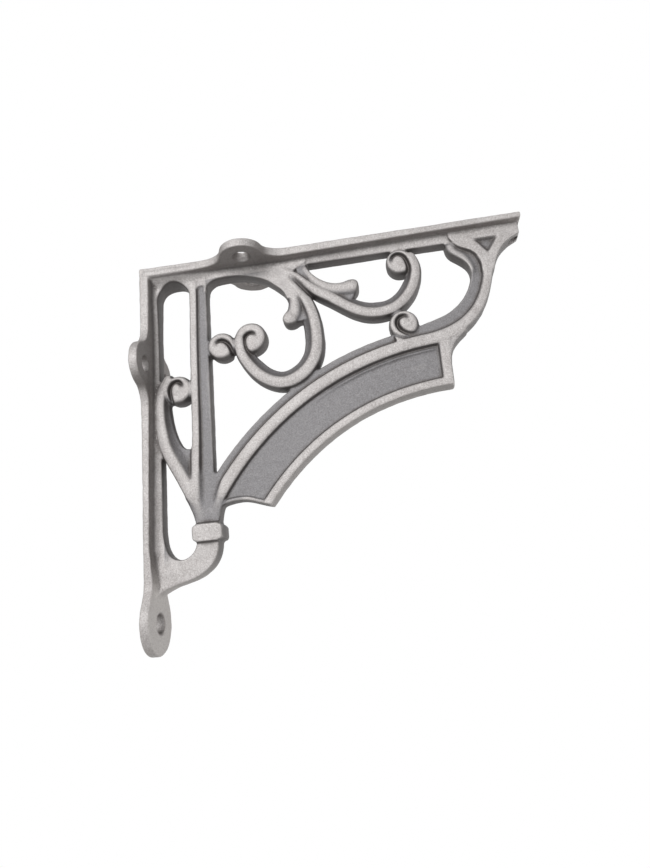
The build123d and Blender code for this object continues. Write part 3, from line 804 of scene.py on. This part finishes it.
# %% [markdown]
# metal() is the whole casting in one rule.  The open work is what lies inside its outline and below
# its relief, with soft edges and a little draft.  The plates are added with a fillet.

# %% The casting as one field


def metal(outline, height, wall_plan, shelf_plan, x, y, z):
    """Positive inside the casting; the drawings are given at the same points."""
    up = np.abs(y)
    web_part = meet(outline - draft * up, height - up, web_edge)
    wall = meet(wall_plan, np.minimum(x, wall_thickness(z) - x), plate_edge)
    shelf = meet(shelf_plan, np.minimum(-z, shelf_thickness(x) + z), plate_edge)
    whole = join(web_part, np.maximum(wall, shelf), web_fillet)
    whole = np.minimum(whole, np.hypot(x - tip_hole_x, y) - tip_hole_radius)
    if np.max(up) > half_flange + 1:
        mouth = shelf_mouth - shelf_taper * np.clip(z + shelf_thick_root, 0, 4)
        hole = np.hypot(x - shelf_hole_out, up - hole_out) - mouth
        whole = np.where(z > -9, meet(whole, hole, 0.4), whole)
    return whole + waviness(x, y, z)


def look_up(drawing, first, second, a, b):
    """A drawing read between its lattice points."""
    u = np.clip((a - first[0]) / voxel, 0, len(first) - 1.001)
    v = np.clip((b - second[0]) / voxel, 0, len(second) - 1.001)
    i, j = u.astype(int), v.astype(int)
    u, v = u - i, v - j
    return ((1 - u) * ((1 - v) * drawing[i, j] + v * drawing[i, j + 1])
            + u * ((1 - v) * drawing[i + 1, j] + v * drawing[i + 1, j + 1]))


def metal_at(x, y, z):
    """metal() at any points."""
    up = np.abs(y)
    return metal(look_up(open_work, xs, zs, x, z), look_up(relief, xs, zs, x, z),
                 look_up(wall_shape, ys, zs, up, z), look_up(shelf_shape, xs, ys, x, up), x, y, z)


in_strut = metal_at(*np.array([[23.0], [0.0], [-50.0]]))[0]
print(f"the middle of the strut is {in_strut:.1f} mm inside the metal")

# %% [markdown]
# The casting is then shared out between the members.  Every lattice point belongs to the first
# member that covers it.  A piece keeps the common surface up to its border and then dips gently
# under its neighbour, so two pieces overlap where nobody sees it and no seam shows.

# %% Sharing the metal out
order = ["corner_block", "shelf_rail", "wall_rail", "collar", "leg", "foot", "strut", "tip_gusset", "scroll_root",
         "ring_scroll_left_volute", "ring_scroll_right_volute", "shelf_scroll_volute", "tip_brace_volute",
         "wall_scroll_volute", "arch_rib", "tip_brace", "curved_panel", "panel_shoulder", "ring_scroll_leaf",
         "shelf_scroll_leaf", "ring_scroll", "shelf_scroll", "wall_scroll", "wall_recess"]
owner = np.full(X.shape, -1)
for number, name in enumerate(order):
    owner[(owner < 0) & (members[name][0] > 0)] = number
nearest = np.argmax([members[name][0] for name in order], axis=0)
owner = np.where(owner < 0, nearest, owner)
border_spread = 0.8
lap = 0.5


def border(number):
    """Distance inside a member's own area, smooth enough to cut with."""
    return (blur((owner == number).astype(float), border_spread) - 0.5) * border_spread * sqrt(2 * np.pi)


seat = 0.45    # the border between a plate and the open work lies this far below the plate
ear_border = half_flange + 0.3


def plate_borders(x, y, z):
    """Distance inside the wall plate's and the shelf plate's own room."""
    wall = wall_thickness(z) + seat - x
    return wall, np.minimum(z + shelf_thickness(x) + seat, -wall)


print(len(order), "members of the open work share", int(np.sum(open_work > 0)), "lattice points")

# %% [markdown]
# OpenVDB comes with Blender and turns a block of such numbers into a closed surface of four-sided
# faces.  Each block is drawn on both sides of the parting plane at once, and the points are turned
# into metres.

# %% From field to mesh


def surface(name, inside, i, j, k):
    """A closed mesh where inside is zero; i, j and k say where the block starts on the lattice."""
    grid = openvdb.FloatGrid(background=3.0)
    grid.copyFromArray(np.clip(-inside, -3, 3).astype(np.float32), ijk=(0, 0, 0))
    points, quads = grid.convertToQuads(isovalue=0.0)
    points = points.astype(float) * voxel
    points += (xs[0] + i * voxel, j * voxel, zs[0] + k * voxel)
    mesh = bpy.data.meshes.new(name)
    mesh.vertices.add(len(points))
    mesh.vertices.foreach_set("co", (points * mm).ravel())
    mesh.loops.add(quads.size)
    mesh.loops.foreach_set("vertex_index", quads.astype(np.int32).ravel())
    mesh.polygons.add(len(quads))
    mesh.polygons.foreach_set("loop_start", np.arange(0, quads.size, 4, dtype=np.int32))
    mesh.update(calc_edges=True)
    mesh.validate()
    mesh.shade_smooth()
    return mesh, points


steps = (np.arange(20) - 10) * voxel
ball = 2 - np.sqrt(steps[:, None, None] ** 2 + steps[None, :, None] ** 2 + steps[None, None, :] ** 2)
trial_mesh, _ = surface("trial_ball", ball, 0, 0, 0)
print("a ball of 2 mm radius gets", len(trial_mesh.polygons), "faces")
bpy.data.meshes.remove(trial_mesh)

# %% [markdown]
# A piece also keeps a few facts about each of its points for the paint: how hollow the surface is
# there, how far below the nearest crest it lies, whether it is on a plate, and how much painted light
# from below its walls get.

# %% Facts for the paint
directions = np.array([(x, y, z) for x in (-1, 0, 1) for y in (-1, 0, 1) for z in (-1, 0, 1) if x or y or z], float)
directions /= np.linalg.norm(directions, axis=1)[:, None]


def highest_near(drawing, distance):
    """The highest value within a distance, along rows and then along columns."""
    steps = int(distance / voxel)
    for axis in (0, 1):
        size = drawing.shape[axis]
        padded = np.pad(drawing, [(steps, steps) if a == axis else (0, 0) for a in (0, 1)], mode="edge")
        drawing = np.max([np.take(padded, range(n, n + size), axis=axis) for n in range(0, 2 * steps + 1, 2)], axis=0)
    return drawing


crest_map = blur(highest_near(np.minimum(relief, crest + 0.15), 5.0), 1.5)
low_map = np.clip(crest_map - relief, 0, 3)


def facts(mesh, points):
    """Paint facts for every point of a piece, from the common field, so that they match at seams."""
    x, y, z = points.T
    # hollow says how much metal lies round a point; the paint darkens corners and creases with it, partly as painted
    # shade and partly as dirt, and lightens worn edges.
    hollow = np.zeros(len(points))
    for size in (1.1, 2.4):
        around_it = (metal_at(*(points + size * way).T) / size for way in directions)
        hollow += sum(np.clip(inside, -1, 1) for inside in around_it) / len(directions)
    top_of_web = look_up(relief, xs, zs, x, z)
    on_top = ease((1.4 - np.abs(np.abs(y) - top_of_web)) / 0.8) * ease((look_up(open_work, xs, zs, x, z) + 0.8) / 0.8)
    wall_room, shelf_room = plate_borders(x, y, z)
    plate = ease(0.5 + np.maximum(wall_room, shelf_room) / 1.0)
    on_rail = ease((z + rail_low + 0.6) / 0.8) + ease((wall_rail_x + 0.6 - x) / 0.8)
    low = look_up(low_map, xs, zs, x, z) * on_top * (1 - plate) * (1 - np.clip(on_rail, 0, 1))
    # Painted light from below: the walls of the lower end and under the panel's lower edge are painted lighter, as if
    # lit from below, except round the tab's hole.
    near_hole = ease((tab_hole + 1 - np.hypot(y, z - tab_z)) / 0.8)
    from_centre = np.hypot(x - arch_centre[0], z - arch_centre[1])
    under_panel = 0.5 * ease(panel_radius + 1.4 - from_centre) * ease((x - 44) / 4)
    painted_light_below = np.maximum(ease((-z - 118) / 14), under_panel) * (1 - near_hole)
    for title, values in (("hollow", hollow), ("low", low), ("plate", plate), ("painted_light_below", painted_light_below)):
        mesh.attributes.new(title, "FLOAT", "POINT").data.foreach_set("value", values.astype(np.float32))


print("facts are taken in", len(directions), "directions round each point")

# %% [markdown]
# A piece is made from a block of the lattice.  Past its border it dips, and its mesh is kept with the
# name of the solid that it stands in for.

# %% From block to piece
pieces = {}


def keep(node, inside, i, j, k):
    """Make the piece that stands in for a solid, from the field over a block of the lattice."""
    mesh, points = surface(node + "_cast", inside, i.start, j.start, k.start)
    facts(mesh, points)
    piece = bpy.data.objects.new(mesh.name, mesh)
    bpy.context.scene.collection.objects.link(piece)
    pieces[piece.name] = (piece, node)


def dip(inside, edge):
    """The metal of one piece: past its border it dips, and it ends a lap further on."""
    return np.minimum(inside - np.maximum(-edge, 0) ** 2, edge + lap)


def face_count():
    return f"{len(pieces)} pieces, {sum(len(piece.data.polygons) for piece, _ in pieces.values())} faces"


def block(i, j, k):
    """The field over a block of the lattice, given as three ranges of lattice numbers."""
    rows = np.arange(j.start, j.stop)
    x, y, z = xs[i.start:i.stop, None, None], (rows * voxel)[None, :, None], zs[None, None, k.start:k.stop]
    up = np.abs(rows)
    inside = metal(open_work[i.start:i.stop, None, k.start:k.stop], relief[i.start:i.stop, None, k.start:k.stop],
                   wall_shape[up][None, :, k.start:k.stop], shelf_shape[i.start:i.stop, up][:, :, None], x, y, z)
    return inside, x, y, z


print("a lap of", lap, "mm under each neighbour")

# %% [markdown]
# First the members of the open work.  Each is cut from the field with its border on the front
# drawing, and kept clear of the two plates.

# %% Pieces of the open work
half_rows = int(7.6 / voxel) + 1
for number, name in enumerate(order):
    edge_map = border(number)
    there = (edge_map > -lap - 0.3) & (open_work > -2.0)
    i = np.flatnonzero(there.any(axis=1))
    k = np.flatnonzero(there.any(axis=0))
    i = range(max(i[0] - 3, 0), min(i[-1] + 4, len(xs)))
    k = range(max(k[0] - 3, 0), min(k[-1] + 4, len(zs)))
    j = range(-half_rows, half_rows + 1)
    inside, x, y, z = block(i, j, k)
    wall_room, shelf_room = plate_borders(x, y, z)
    edge = np.minimum(edge_map[i.start:i.stop, None, k.start:k.stop], -np.maximum(wall_room, shelf_room))
    keep(name, dip(inside, edge), i, j, k)
print(face_count())

# %% [markdown]
# The plates come next: both flanges, the four ears and the tab.  Their borders are plain planes, so
# they are written as simple rules in x, y and z.

# %% Flanges, ears and tab


def cut_plate(name, x_range, y_range, z_range, room):
    """One piece of a plate: its box, and a rule for how deep points lie inside its border."""
    i = range(*np.searchsorted(xs, x_range))
    k = range(*np.searchsorted(zs, z_range))
    j = range(int(y_range[0] / voxel), int(y_range[1] / voxel) + 1)
    inside, x, y, z = block(i, j, k)
    inside = dip(inside, room(x, y, z))
    for axis in range(3):
        for end in (0, -1):
            np.moveaxis(inside, axis, 0)[end] = -1
    keep(name, inside, i, j, k)


strip = ear_border + 1.2
top = margin * 0.8
cut_plate("wall_flange", (-top, 7), (-strip, strip), (shoulder_z - 2, top),
          lambda x, y, z: np.minimum(np.minimum(plate_borders(x, y, z)[0], ear_border - np.abs(y)), z - shoulder_z))
cut_plate("shelf_flange", (1, reach + top), (-strip, strip), (-7, top),
          lambda x, y, z: np.minimum(plate_borders(x, y, z)[1], ear_border - np.abs(y)))
cut_plate("bottom_tab", (-top, 7), (-14, 14), (-drop - top, shoulder_z + 2),
          lambda x, y, z: np.minimum(plate_borders(x, y, z)[0], shoulder_z - z))
for side, word in ((-1, "left"), (1, "right")):
    sides = (-half_span - top, -half_flange + 1) if side < 0 else (half_flange - 1, half_span + top)
    cut_plate("shelf_ear_" + word, (shelf_hole_out - 20, shelf_hole_out + 20), sides, (-7, top),
              lambda x, y, z: np.minimum(plate_borders(x, y, z)[1], side * y - ear_border))
    cut_plate("wall_ear_" + word, (-top, 7), sides, (-wall_hole_down - 20, -wall_hole_down + 20),
              lambda x, y, z: np.minimum(plate_borders(x, y, z)[0], side * y - ear_border))
print(face_count())

# %% [markdown]
# The finish is bare grey iron with a sandy skin.  Raised faces were scoured while the casting was
# cleaned and are light and warm, with darker specks in the pits of the skin.  Low places keep a darker,
# cooler grey.  Corners and creases are painted darker, partly painted shade and partly dirt kept
# there; walls that look sideways get painted shade, partly their own darker iron, the lower walls get
# painted light from below, and faces towards the front get painted glints.  The colours are mixed
# from the facts stored with the points and from noise on Object coordinates, so they stay put from
# every side.

# %% Wires and tools for the iron
cast_iron = bpy.data.materials.new("cast_iron")
cast_iron.use_nodes = True
nodes, links = cast_iron.node_tree.nodes, cast_iron.node_tree.links
nodes.clear()


def node(kind, **values):
    new = nodes.new(kind)
    for key, value in values.items():
        setattr(new, key, value)
    return new


def wire(value, socket):
    if isinstance(value, (int, float)):
        socket.default_value = value
    elif isinstance(value, tuple):
        socket.default_value = (*value, 1.0) if len(socket.default_value) == 4 else value
    else:
        links.new(value, socket)


def math(operation, *values, clamp=False):
    new = node("ShaderNodeMath", operation=operation, use_clamp=clamp)
    for value, socket in zip(values, new.inputs):
        wire(value, socket)
    return new.outputs[0]


def noise(size, detail, roughness, seed):
    new = node("ShaderNodeTexNoise", noise_dimensions="4D")
    links.new(place, new.inputs["Vector"])
    new.inputs["W"].default_value = seed
    new.inputs["Scale"].default_value = 1 / (size * mm)
    new.inputs["Detail"].default_value = detail
    new.inputs["Roughness"].default_value = roughness
    return new.outputs["Fac"]


def between(value, low, high, to_low=0.0, to_high=1.0):
    new = node("ShaderNodeMapRange", interpolation_type="SMOOTHSTEP")
    for part, socket in zip((value, low, high, to_low, to_high), new.inputs[:5]):
        wire(part, socket)
    return new.outputs[0]


def mix(share, first, second, way="MIX"):
    new = node("ShaderNodeMix", data_type="RGBA", blend_type=way)
    wire(share, new.inputs[0])
    wire(first, new.inputs[6])
    wire(second, new.inputs[7])
    return new.outputs[2]


def fact(title):
    return node("ShaderNodeAttribute", attribute_name=title).outputs["Fac"]


place = node("ShaderNodeTexCoord").outputs["Object"]
print("the iron's patterns sit on", place.name, "coordinates")

# %% [markdown]
# The tone starts from slow patches, is darkened by how low the place is and, partly as painted shade,
# by how hollow it is, turns to a side tone of painted shade on faces that look sideways, and gets its
# grain and painted glints last.

# %% Tones of the iron
turned = node("ShaderNodeSeparateXYZ")
links.new(node("ShaderNodeNewGeometry").outputs["Normal"], turned.inputs[0])
facing = math("ABSOLUTE", turned.outputs[1])
hollow, low, plate, painted_light_below = fact("hollow"), fact("low"), fact("plate"), fact("painted_light_below")
specks = noise(0.75, 3, 0.65, 1.0)
fine = noise(0.42, 2, 0.6, 2.0)
patches = noise(9.0, 3, 0.55, 3.0)

face = between(facing, 0.5, 0.97)
tone = mix(between(patches, 0.3, 0.7), (0.50, 0.475, 0.465), (0.585, 0.56, 0.55))
tone = mix(between(low, 0.25, 1.0), tone, (0.248, 0.241, 0.248))
# Corners and creases darkened: partly painted shade, partly dirt kept there.
tone = mix(between(hollow, 0.05, 0.6), tone, (0.12, 0.108, 0.102))
# Painted shade: faces that look sideways, away from the front and the back, are painted a very dark tone, partly the
# walls' own darker iron; the plates' walls get a lighter painted shade.
side_tone_and_shade = mix(plate, (0.066, 0.058, 0.055), (0.23, 0.21, 0.2))
# Painted light from below: walls low on the casting and under the panel are painted lighter.
side_tone_and_shade = mix(painted_light_below, side_tone_and_shade, (0.5, 0.475, 0.455))
tone = mix(math("MULTIPLY", math("SUBTRACT", 1.0, face), 0.88), tone, side_tone_and_shade)
pits = between(specks, 0.46, 0.7)
tone = mix(math("MULTIPLY", pits, 0.45), tone, (0.52, 0.48, 0.47), "MULTIPLY")
grit = between(fine, 0.34, 0.52, 1.0, 0.0)
tone = mix(math("MULTIPLY", grit, 0.5), tone, (0.56, 0.525, 0.515), "MULTIPLY")
# Painted glints: bright specks are painted on faces that look to the front or back, fewer in low places.
glints = between(fine, 0.53, 0.68)
bright = math("MULTIPLY", face, between(low, 0.2, 0.8, 0.42, 0.1))
tone = mix(math("MULTIPLY", glints, bright), tone, (0.9, 0.87, 0.85))
worn = between(math("MULTIPLY", hollow, -1.0), 0.35, 0.9)
tone = mix(math("MULTIPLY", worn, 0.35), tone, (0.66, 0.63, 0.61))

print(len(nodes), "nodes mix the tone")

# %% [markdown]
# Grey iron is a dull metal, so it is only partly metallic and rather rough, and the fine grain is a
# bump.

# %% Gloss and grain of the iron
shader = node("ShaderNodeBsdfPrincipled")
links.new(tone, shader.inputs["Base Color"])
shader.inputs["Metallic"].default_value = 0.25
links.new(between(specks, 0.3, 0.7, 0.62, 0.5), shader.inputs["Roughness"])
height = math("ADD", math("MULTIPLY", specks, 0.7), math("MULTIPLY", fine, 0.35))
bump = node("ShaderNodeBump")
bump.inputs["Strength"].default_value = 0.55
bump.inputs["Distance"].default_value = 0.22 * mm
links.new(height, bump.inputs["Height"])
links.new(bump.outputs[0], shader.inputs["Normal"])
out = node("ShaderNodeOutputMaterial")
links.new(shader.outputs[0], out.inputs[0])
print(len(cast_iron.node_tree.nodes), "nodes in the iron")

# %% [markdown]
# The sand leaves a skin of shallow bumps on every face.  That is a rule which follows the surface,
# so it is a job for Geometry Nodes: each point moves along its normal by a little noise.  The sizes
# are named inputs of the tree.

# %% The tree of the sand skin


def sand_skin_tree():
    tree = bpy.data.node_groups.new("sand_skin", "GeometryNodeTree")
    face = tree.interface
    face.new_socket("Geometry", in_out="INPUT", socket_type="NodeSocketGeometry")
    for title, value in (("Grain Size", 1.6 * mm), ("Grain Height", 0.07 * mm), ("Lump Size", 6.0 * mm),
                         ("Lump Height", 0.09 * mm), ("Seed", 4.0)):
        face.new_socket(title, in_out="INPUT", socket_type="NodeSocketFloat").default_value = value
    face.new_socket("Material", in_out="INPUT", socket_type="NodeSocketMaterial")
    face.new_socket("Geometry", in_out="OUTPUT", socket_type="NodeSocketGeometry")
    nodes, links = tree.nodes, tree.links
    given, result = nodes.new("NodeGroupInput"), nodes.new("NodeGroupOutput")
    place, normal = nodes.new("GeometryNodeInputPosition"), nodes.new("GeometryNodeInputNormal")

    def math(operation, first, second):
        new = nodes.new("ShaderNodeMath")
        new.operation = operation
        for value, socket in zip((first, second), new.inputs):
            if isinstance(value, float):
                socket.default_value = value
            else:
                links.new(value, socket)
        return new.outputs[0]

    def bumps(size, height):
        texture = nodes.new("ShaderNodeTexNoise")
        texture.noise_dimensions = "4D"
        links.new(place.outputs[0], texture.inputs["Vector"])
        links.new(given.outputs["Seed"], texture.inputs["W"])
        links.new(math("DIVIDE", 1.0, given.outputs[size]), texture.inputs["Scale"])
        texture.inputs["Detail"].default_value = 2.0
        return math("MULTIPLY", math("SUBTRACT", texture.outputs["Fac"], 0.5), given.outputs[height])

    amount = math("ADD", bumps("Grain Size", "Grain Height"), bumps("Lump Size", "Lump Height"))
    along = nodes.new("ShaderNodeVectorMath")
    along.operation = "SCALE"
    links.new(normal.outputs[0], along.inputs[0])
    links.new(amount, along.inputs["Scale"])
    move = nodes.new("GeometryNodeSetPosition")
    links.new(given.outputs["Geometry"], move.inputs["Geometry"])
    links.new(along.outputs[0], move.inputs["Offset"])
    real = nodes.new("GeometryNodeRealizeInstances")
    links.new(move.outputs[0], real.inputs[0])
    paint = nodes.new("GeometryNodeSetMaterial")
    links.new(real.outputs[0], paint.inputs["Geometry"])
    links.new(given.outputs["Material"], paint.inputs["Material"])
    links.new(paint.outputs[0], result.inputs[0])
    return tree


skin_tree = sand_skin_tree()
inputs = [item.name for item in skin_tree.interface.items_tree if item.in_out == "INPUT"]
print(skin_tree.name, "has the inputs", inputs)

# %% [markdown]
# Every piece gets the tree as a modifier, and the result is turned into a plain mesh straight away.

# %% Skin on every piece


def with_skin(piece, tree, **sizes):
    """The piece's mesh with the sand skin on it, as a plain mesh."""
    skin = piece.modifiers.new("sand_skin", "NODES")
    skin.node_group = tree
    for item in tree.interface.items_tree:
        if item.in_out == "INPUT" and item.name in sizes:
            skin[item.identifier] = sizes[item.name]
    graph = bpy.context.evaluated_depsgraph_get()
    mesh = bpy.data.meshes.new_from_object(piece.evaluated_get(graph))
    piece.modifiers.remove(skin)
    bare, piece.data = piece.data, mesh
    mesh.name = bare.name
    bpy.data.meshes.remove(bare)


for piece, _ in pieces.values():
    with_skin(piece, skin_tree, Material=cast_iron)
print("skin on", len(pieces), "pieces, material", pieces["collar_cast"][0].data.materials[0].name)

# %% [markdown]
# Every finished piece rides on the casting's one body and stands in for its solid.  All of them are
# the same iron, so they share one slot.

# %% Tie the pieces to the frame
for name, (piece, replaced) in pieces.items():
    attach(piece, "root")
    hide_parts(replaced)
print(len(pieces), "pieces stand in for", len(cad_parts), "solids")

# %% [markdown]
# The photograph shows the bracket in the air against white.  The floor lies well below it and fades
# to the same white with distance; under the object it is pale and takes a shadow.
# Light Path keeps that white to what the camera and reflections see, so it adds no light.

# %% Floor
floor_z, floor_half = -0.42, 30.0
fade_start, fade_end, share_near = 0.2, 0.5, 0.45    # metres from the middle, and the share of white there


def seen_by_eye(nodes, links):
    """1 for rays from the camera and for reflected and transmitted ones."""
    path = nodes.new("ShaderNodeLightPath")
    total = path.outputs["Is Camera Ray"]
    for title in ("Is Glossy Ray", "Is Transmission Ray"):
        add_up = nodes.new("ShaderNodeMath")
        add_up.operation = "MAXIMUM"
        links.new(total, add_up.inputs[0])
        links.new(path.outputs[title], add_up.inputs[1])
        total = add_up.outputs[0]
    return total


def with_white(nodes, links, plain, share, white, output):
    """Mix a plain shader with a white one and wire the mix to the output."""
    mixed = nodes.new("ShaderNodeMixShader")
    for source, socket in zip((share, plain.outputs[0], white.outputs[0]), mixed.inputs):
        links.new(source, socket)
    links.new(mixed.outputs[0], nodes.new(output).inputs[0])


def floor_paint():
    made = bpy.data.materials.new("pale_floor")
    made.use_nodes = True
    nodes, links = made.node_tree.nodes, made.node_tree.links
    nodes.clear()
    matte, white = nodes.new("ShaderNodeBsdfDiffuse"), nodes.new("ShaderNodeEmission")
    matte.inputs["Color"].default_value = (0.9, 0.9, 0.9, 1)
    white.inputs["Color"].default_value = (1, 1, 1, 1)
    place, length = nodes.new("ShaderNodeTexCoord"), nodes.new("ShaderNodeVectorMath")
    fade = nodes.new("ShaderNodeMapRange")
    length.operation = "LENGTH"
    for title, value in (("From Min", fade_start), ("From Max", fade_end), ("To Min", share_near)):
        fade.inputs[title].default_value = value
    links.new(place.outputs["Object"], length.inputs[0])
    links.new(length.outputs["Value"], fade.inputs["Value"])
    share = nodes.new("ShaderNodeMath")
    share.operation = "MULTIPLY"
    links.new(fade.outputs[0], share.inputs[0])
    links.new(seen_by_eye(nodes, links), share.inputs[1])
    with_white(nodes, links, matte, share.outputs[0], white, "ShaderNodeOutputMaterial")
    return made


middle_x = reach / 2 * mm
floor_mesh = bpy.data.meshes.new("floor")
corners = [(x * floor_half, y * floor_half, 0) for x, y in ((-1, -1), (1, -1), (1, 1), (-1, 1))]
floor_mesh.from_pydata(corners, [], [(0, 1, 2, 3)])
floor_mesh.materials.append(floor_paint())
floor = bpy.data.objects.new("floor", floor_mesh)
floor.location = (middle_x, 0, floor_z)
bpy.context.scene.collection.objects.link(floor)
floor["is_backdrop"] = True
print("floor", -floor_z / mm, "mm below the shelf face")

# %% [markdown]
# The world gives a weak even light, and shows itself as plain white.

# %% World
world = bpy.data.worlds.new("world")
bpy.context.scene.world = world
world.use_nodes = True
sky_nodes, sky_links = world.node_tree.nodes, world.node_tree.links
sky_nodes.clear()
soft, white = sky_nodes.new("ShaderNodeBackground"), sky_nodes.new("ShaderNodeBackground")
for sky, strength in ((soft, 0.24), (white, 1.0)):
    sky.inputs["Color"].default_value, sky.inputs["Strength"].default_value = (1, 1, 1, 1), strength
with_white(sky_nodes, sky_links, soft, seen_by_eye(sky_nodes, sky_links), white, "ShaderNodeOutputWorld")
print("the sky lights at", round(soft.inputs["Strength"].default_value, 2), "and is seen at 1")

# %% [markdown]
# One large soft lamp stands in front, a little above and to the left, and a weaker one fills from
# the right.  Faces that look at the viewer are bright, and walls that look down or sideways fall
# into shade, which is what makes the relief readable.

# %% Lamps
aim = Vector((middle_x, 0, -drop / 2 * mm))


def lamp(name, place, size, power):
    """A square soft lamp that looks at the middle of the bracket."""
    data = bpy.data.lights.new(name, "AREA")
    data.shape, data.size, data.energy = "SQUARE", size, power
    light = bpy.data.objects.new(name, data)
    light.location = place
    light.rotation_euler = (aim - Vector(place)).to_track_quat("-Z", "Y").to_euler()
    bpy.context.scene.collection.objects.link(light)
    return light


lamps = [lamp("key", (-0.2, -0.95, 0.3), size=0.55, power=6.3),
         lamp("fill", (0.62, 0.2, -0.3), size=0.5, power=1.9)]
print([light.name for light in lamps])

# %% [markdown]
# The camera is the one fitted to the photograph: three rows say which way its right, its down and
# its view point, and it stands in front, low down, and looks slightly up.

# %% Camera
right = Vector((0.986896, 0.135703, -0.087299))
down = Vector((-0.119634, 0.252310, -0.960223))
ahead = Vector((-0.108279, 0.958084, 0.265238))
camera_data = bpy.data.cameras.new("camera")
focal_pixels, picture_height = 647.33, 868
camera_data.sensor_width = 36
camera_data.lens = camera_data.sensor_width * focal_pixels / picture_height
camera = bpy.data.objects.new("camera", camera_data)
turn_to = Matrix((right, -down, -ahead)).transposed().to_4x4()
camera.matrix_world = Matrix.Translation((0.097152, -0.236735, -0.143613)) @ turn_to
camera_data.clip_start, camera_data.clip_end = 0.01, 100
bpy.context.scene.collection.objects.link(camera)
bpy.context.scene.camera = camera
bpy.context.scene.view_settings.view_transform = "Standard"
print("camera at", [round(v, 3) for v in camera.location])

# %% [markdown]
# Last, the box of the plain solids and the box of the finished pieces are printed side by side.

# %% Sizes, and finish
dressed_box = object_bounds()
boxes = {"cad": solid_box, "visual": dressed_box}
for title, box in boxes.items():
    print(title, [[round(value / mm, 1) for value in corner] for corner in box])
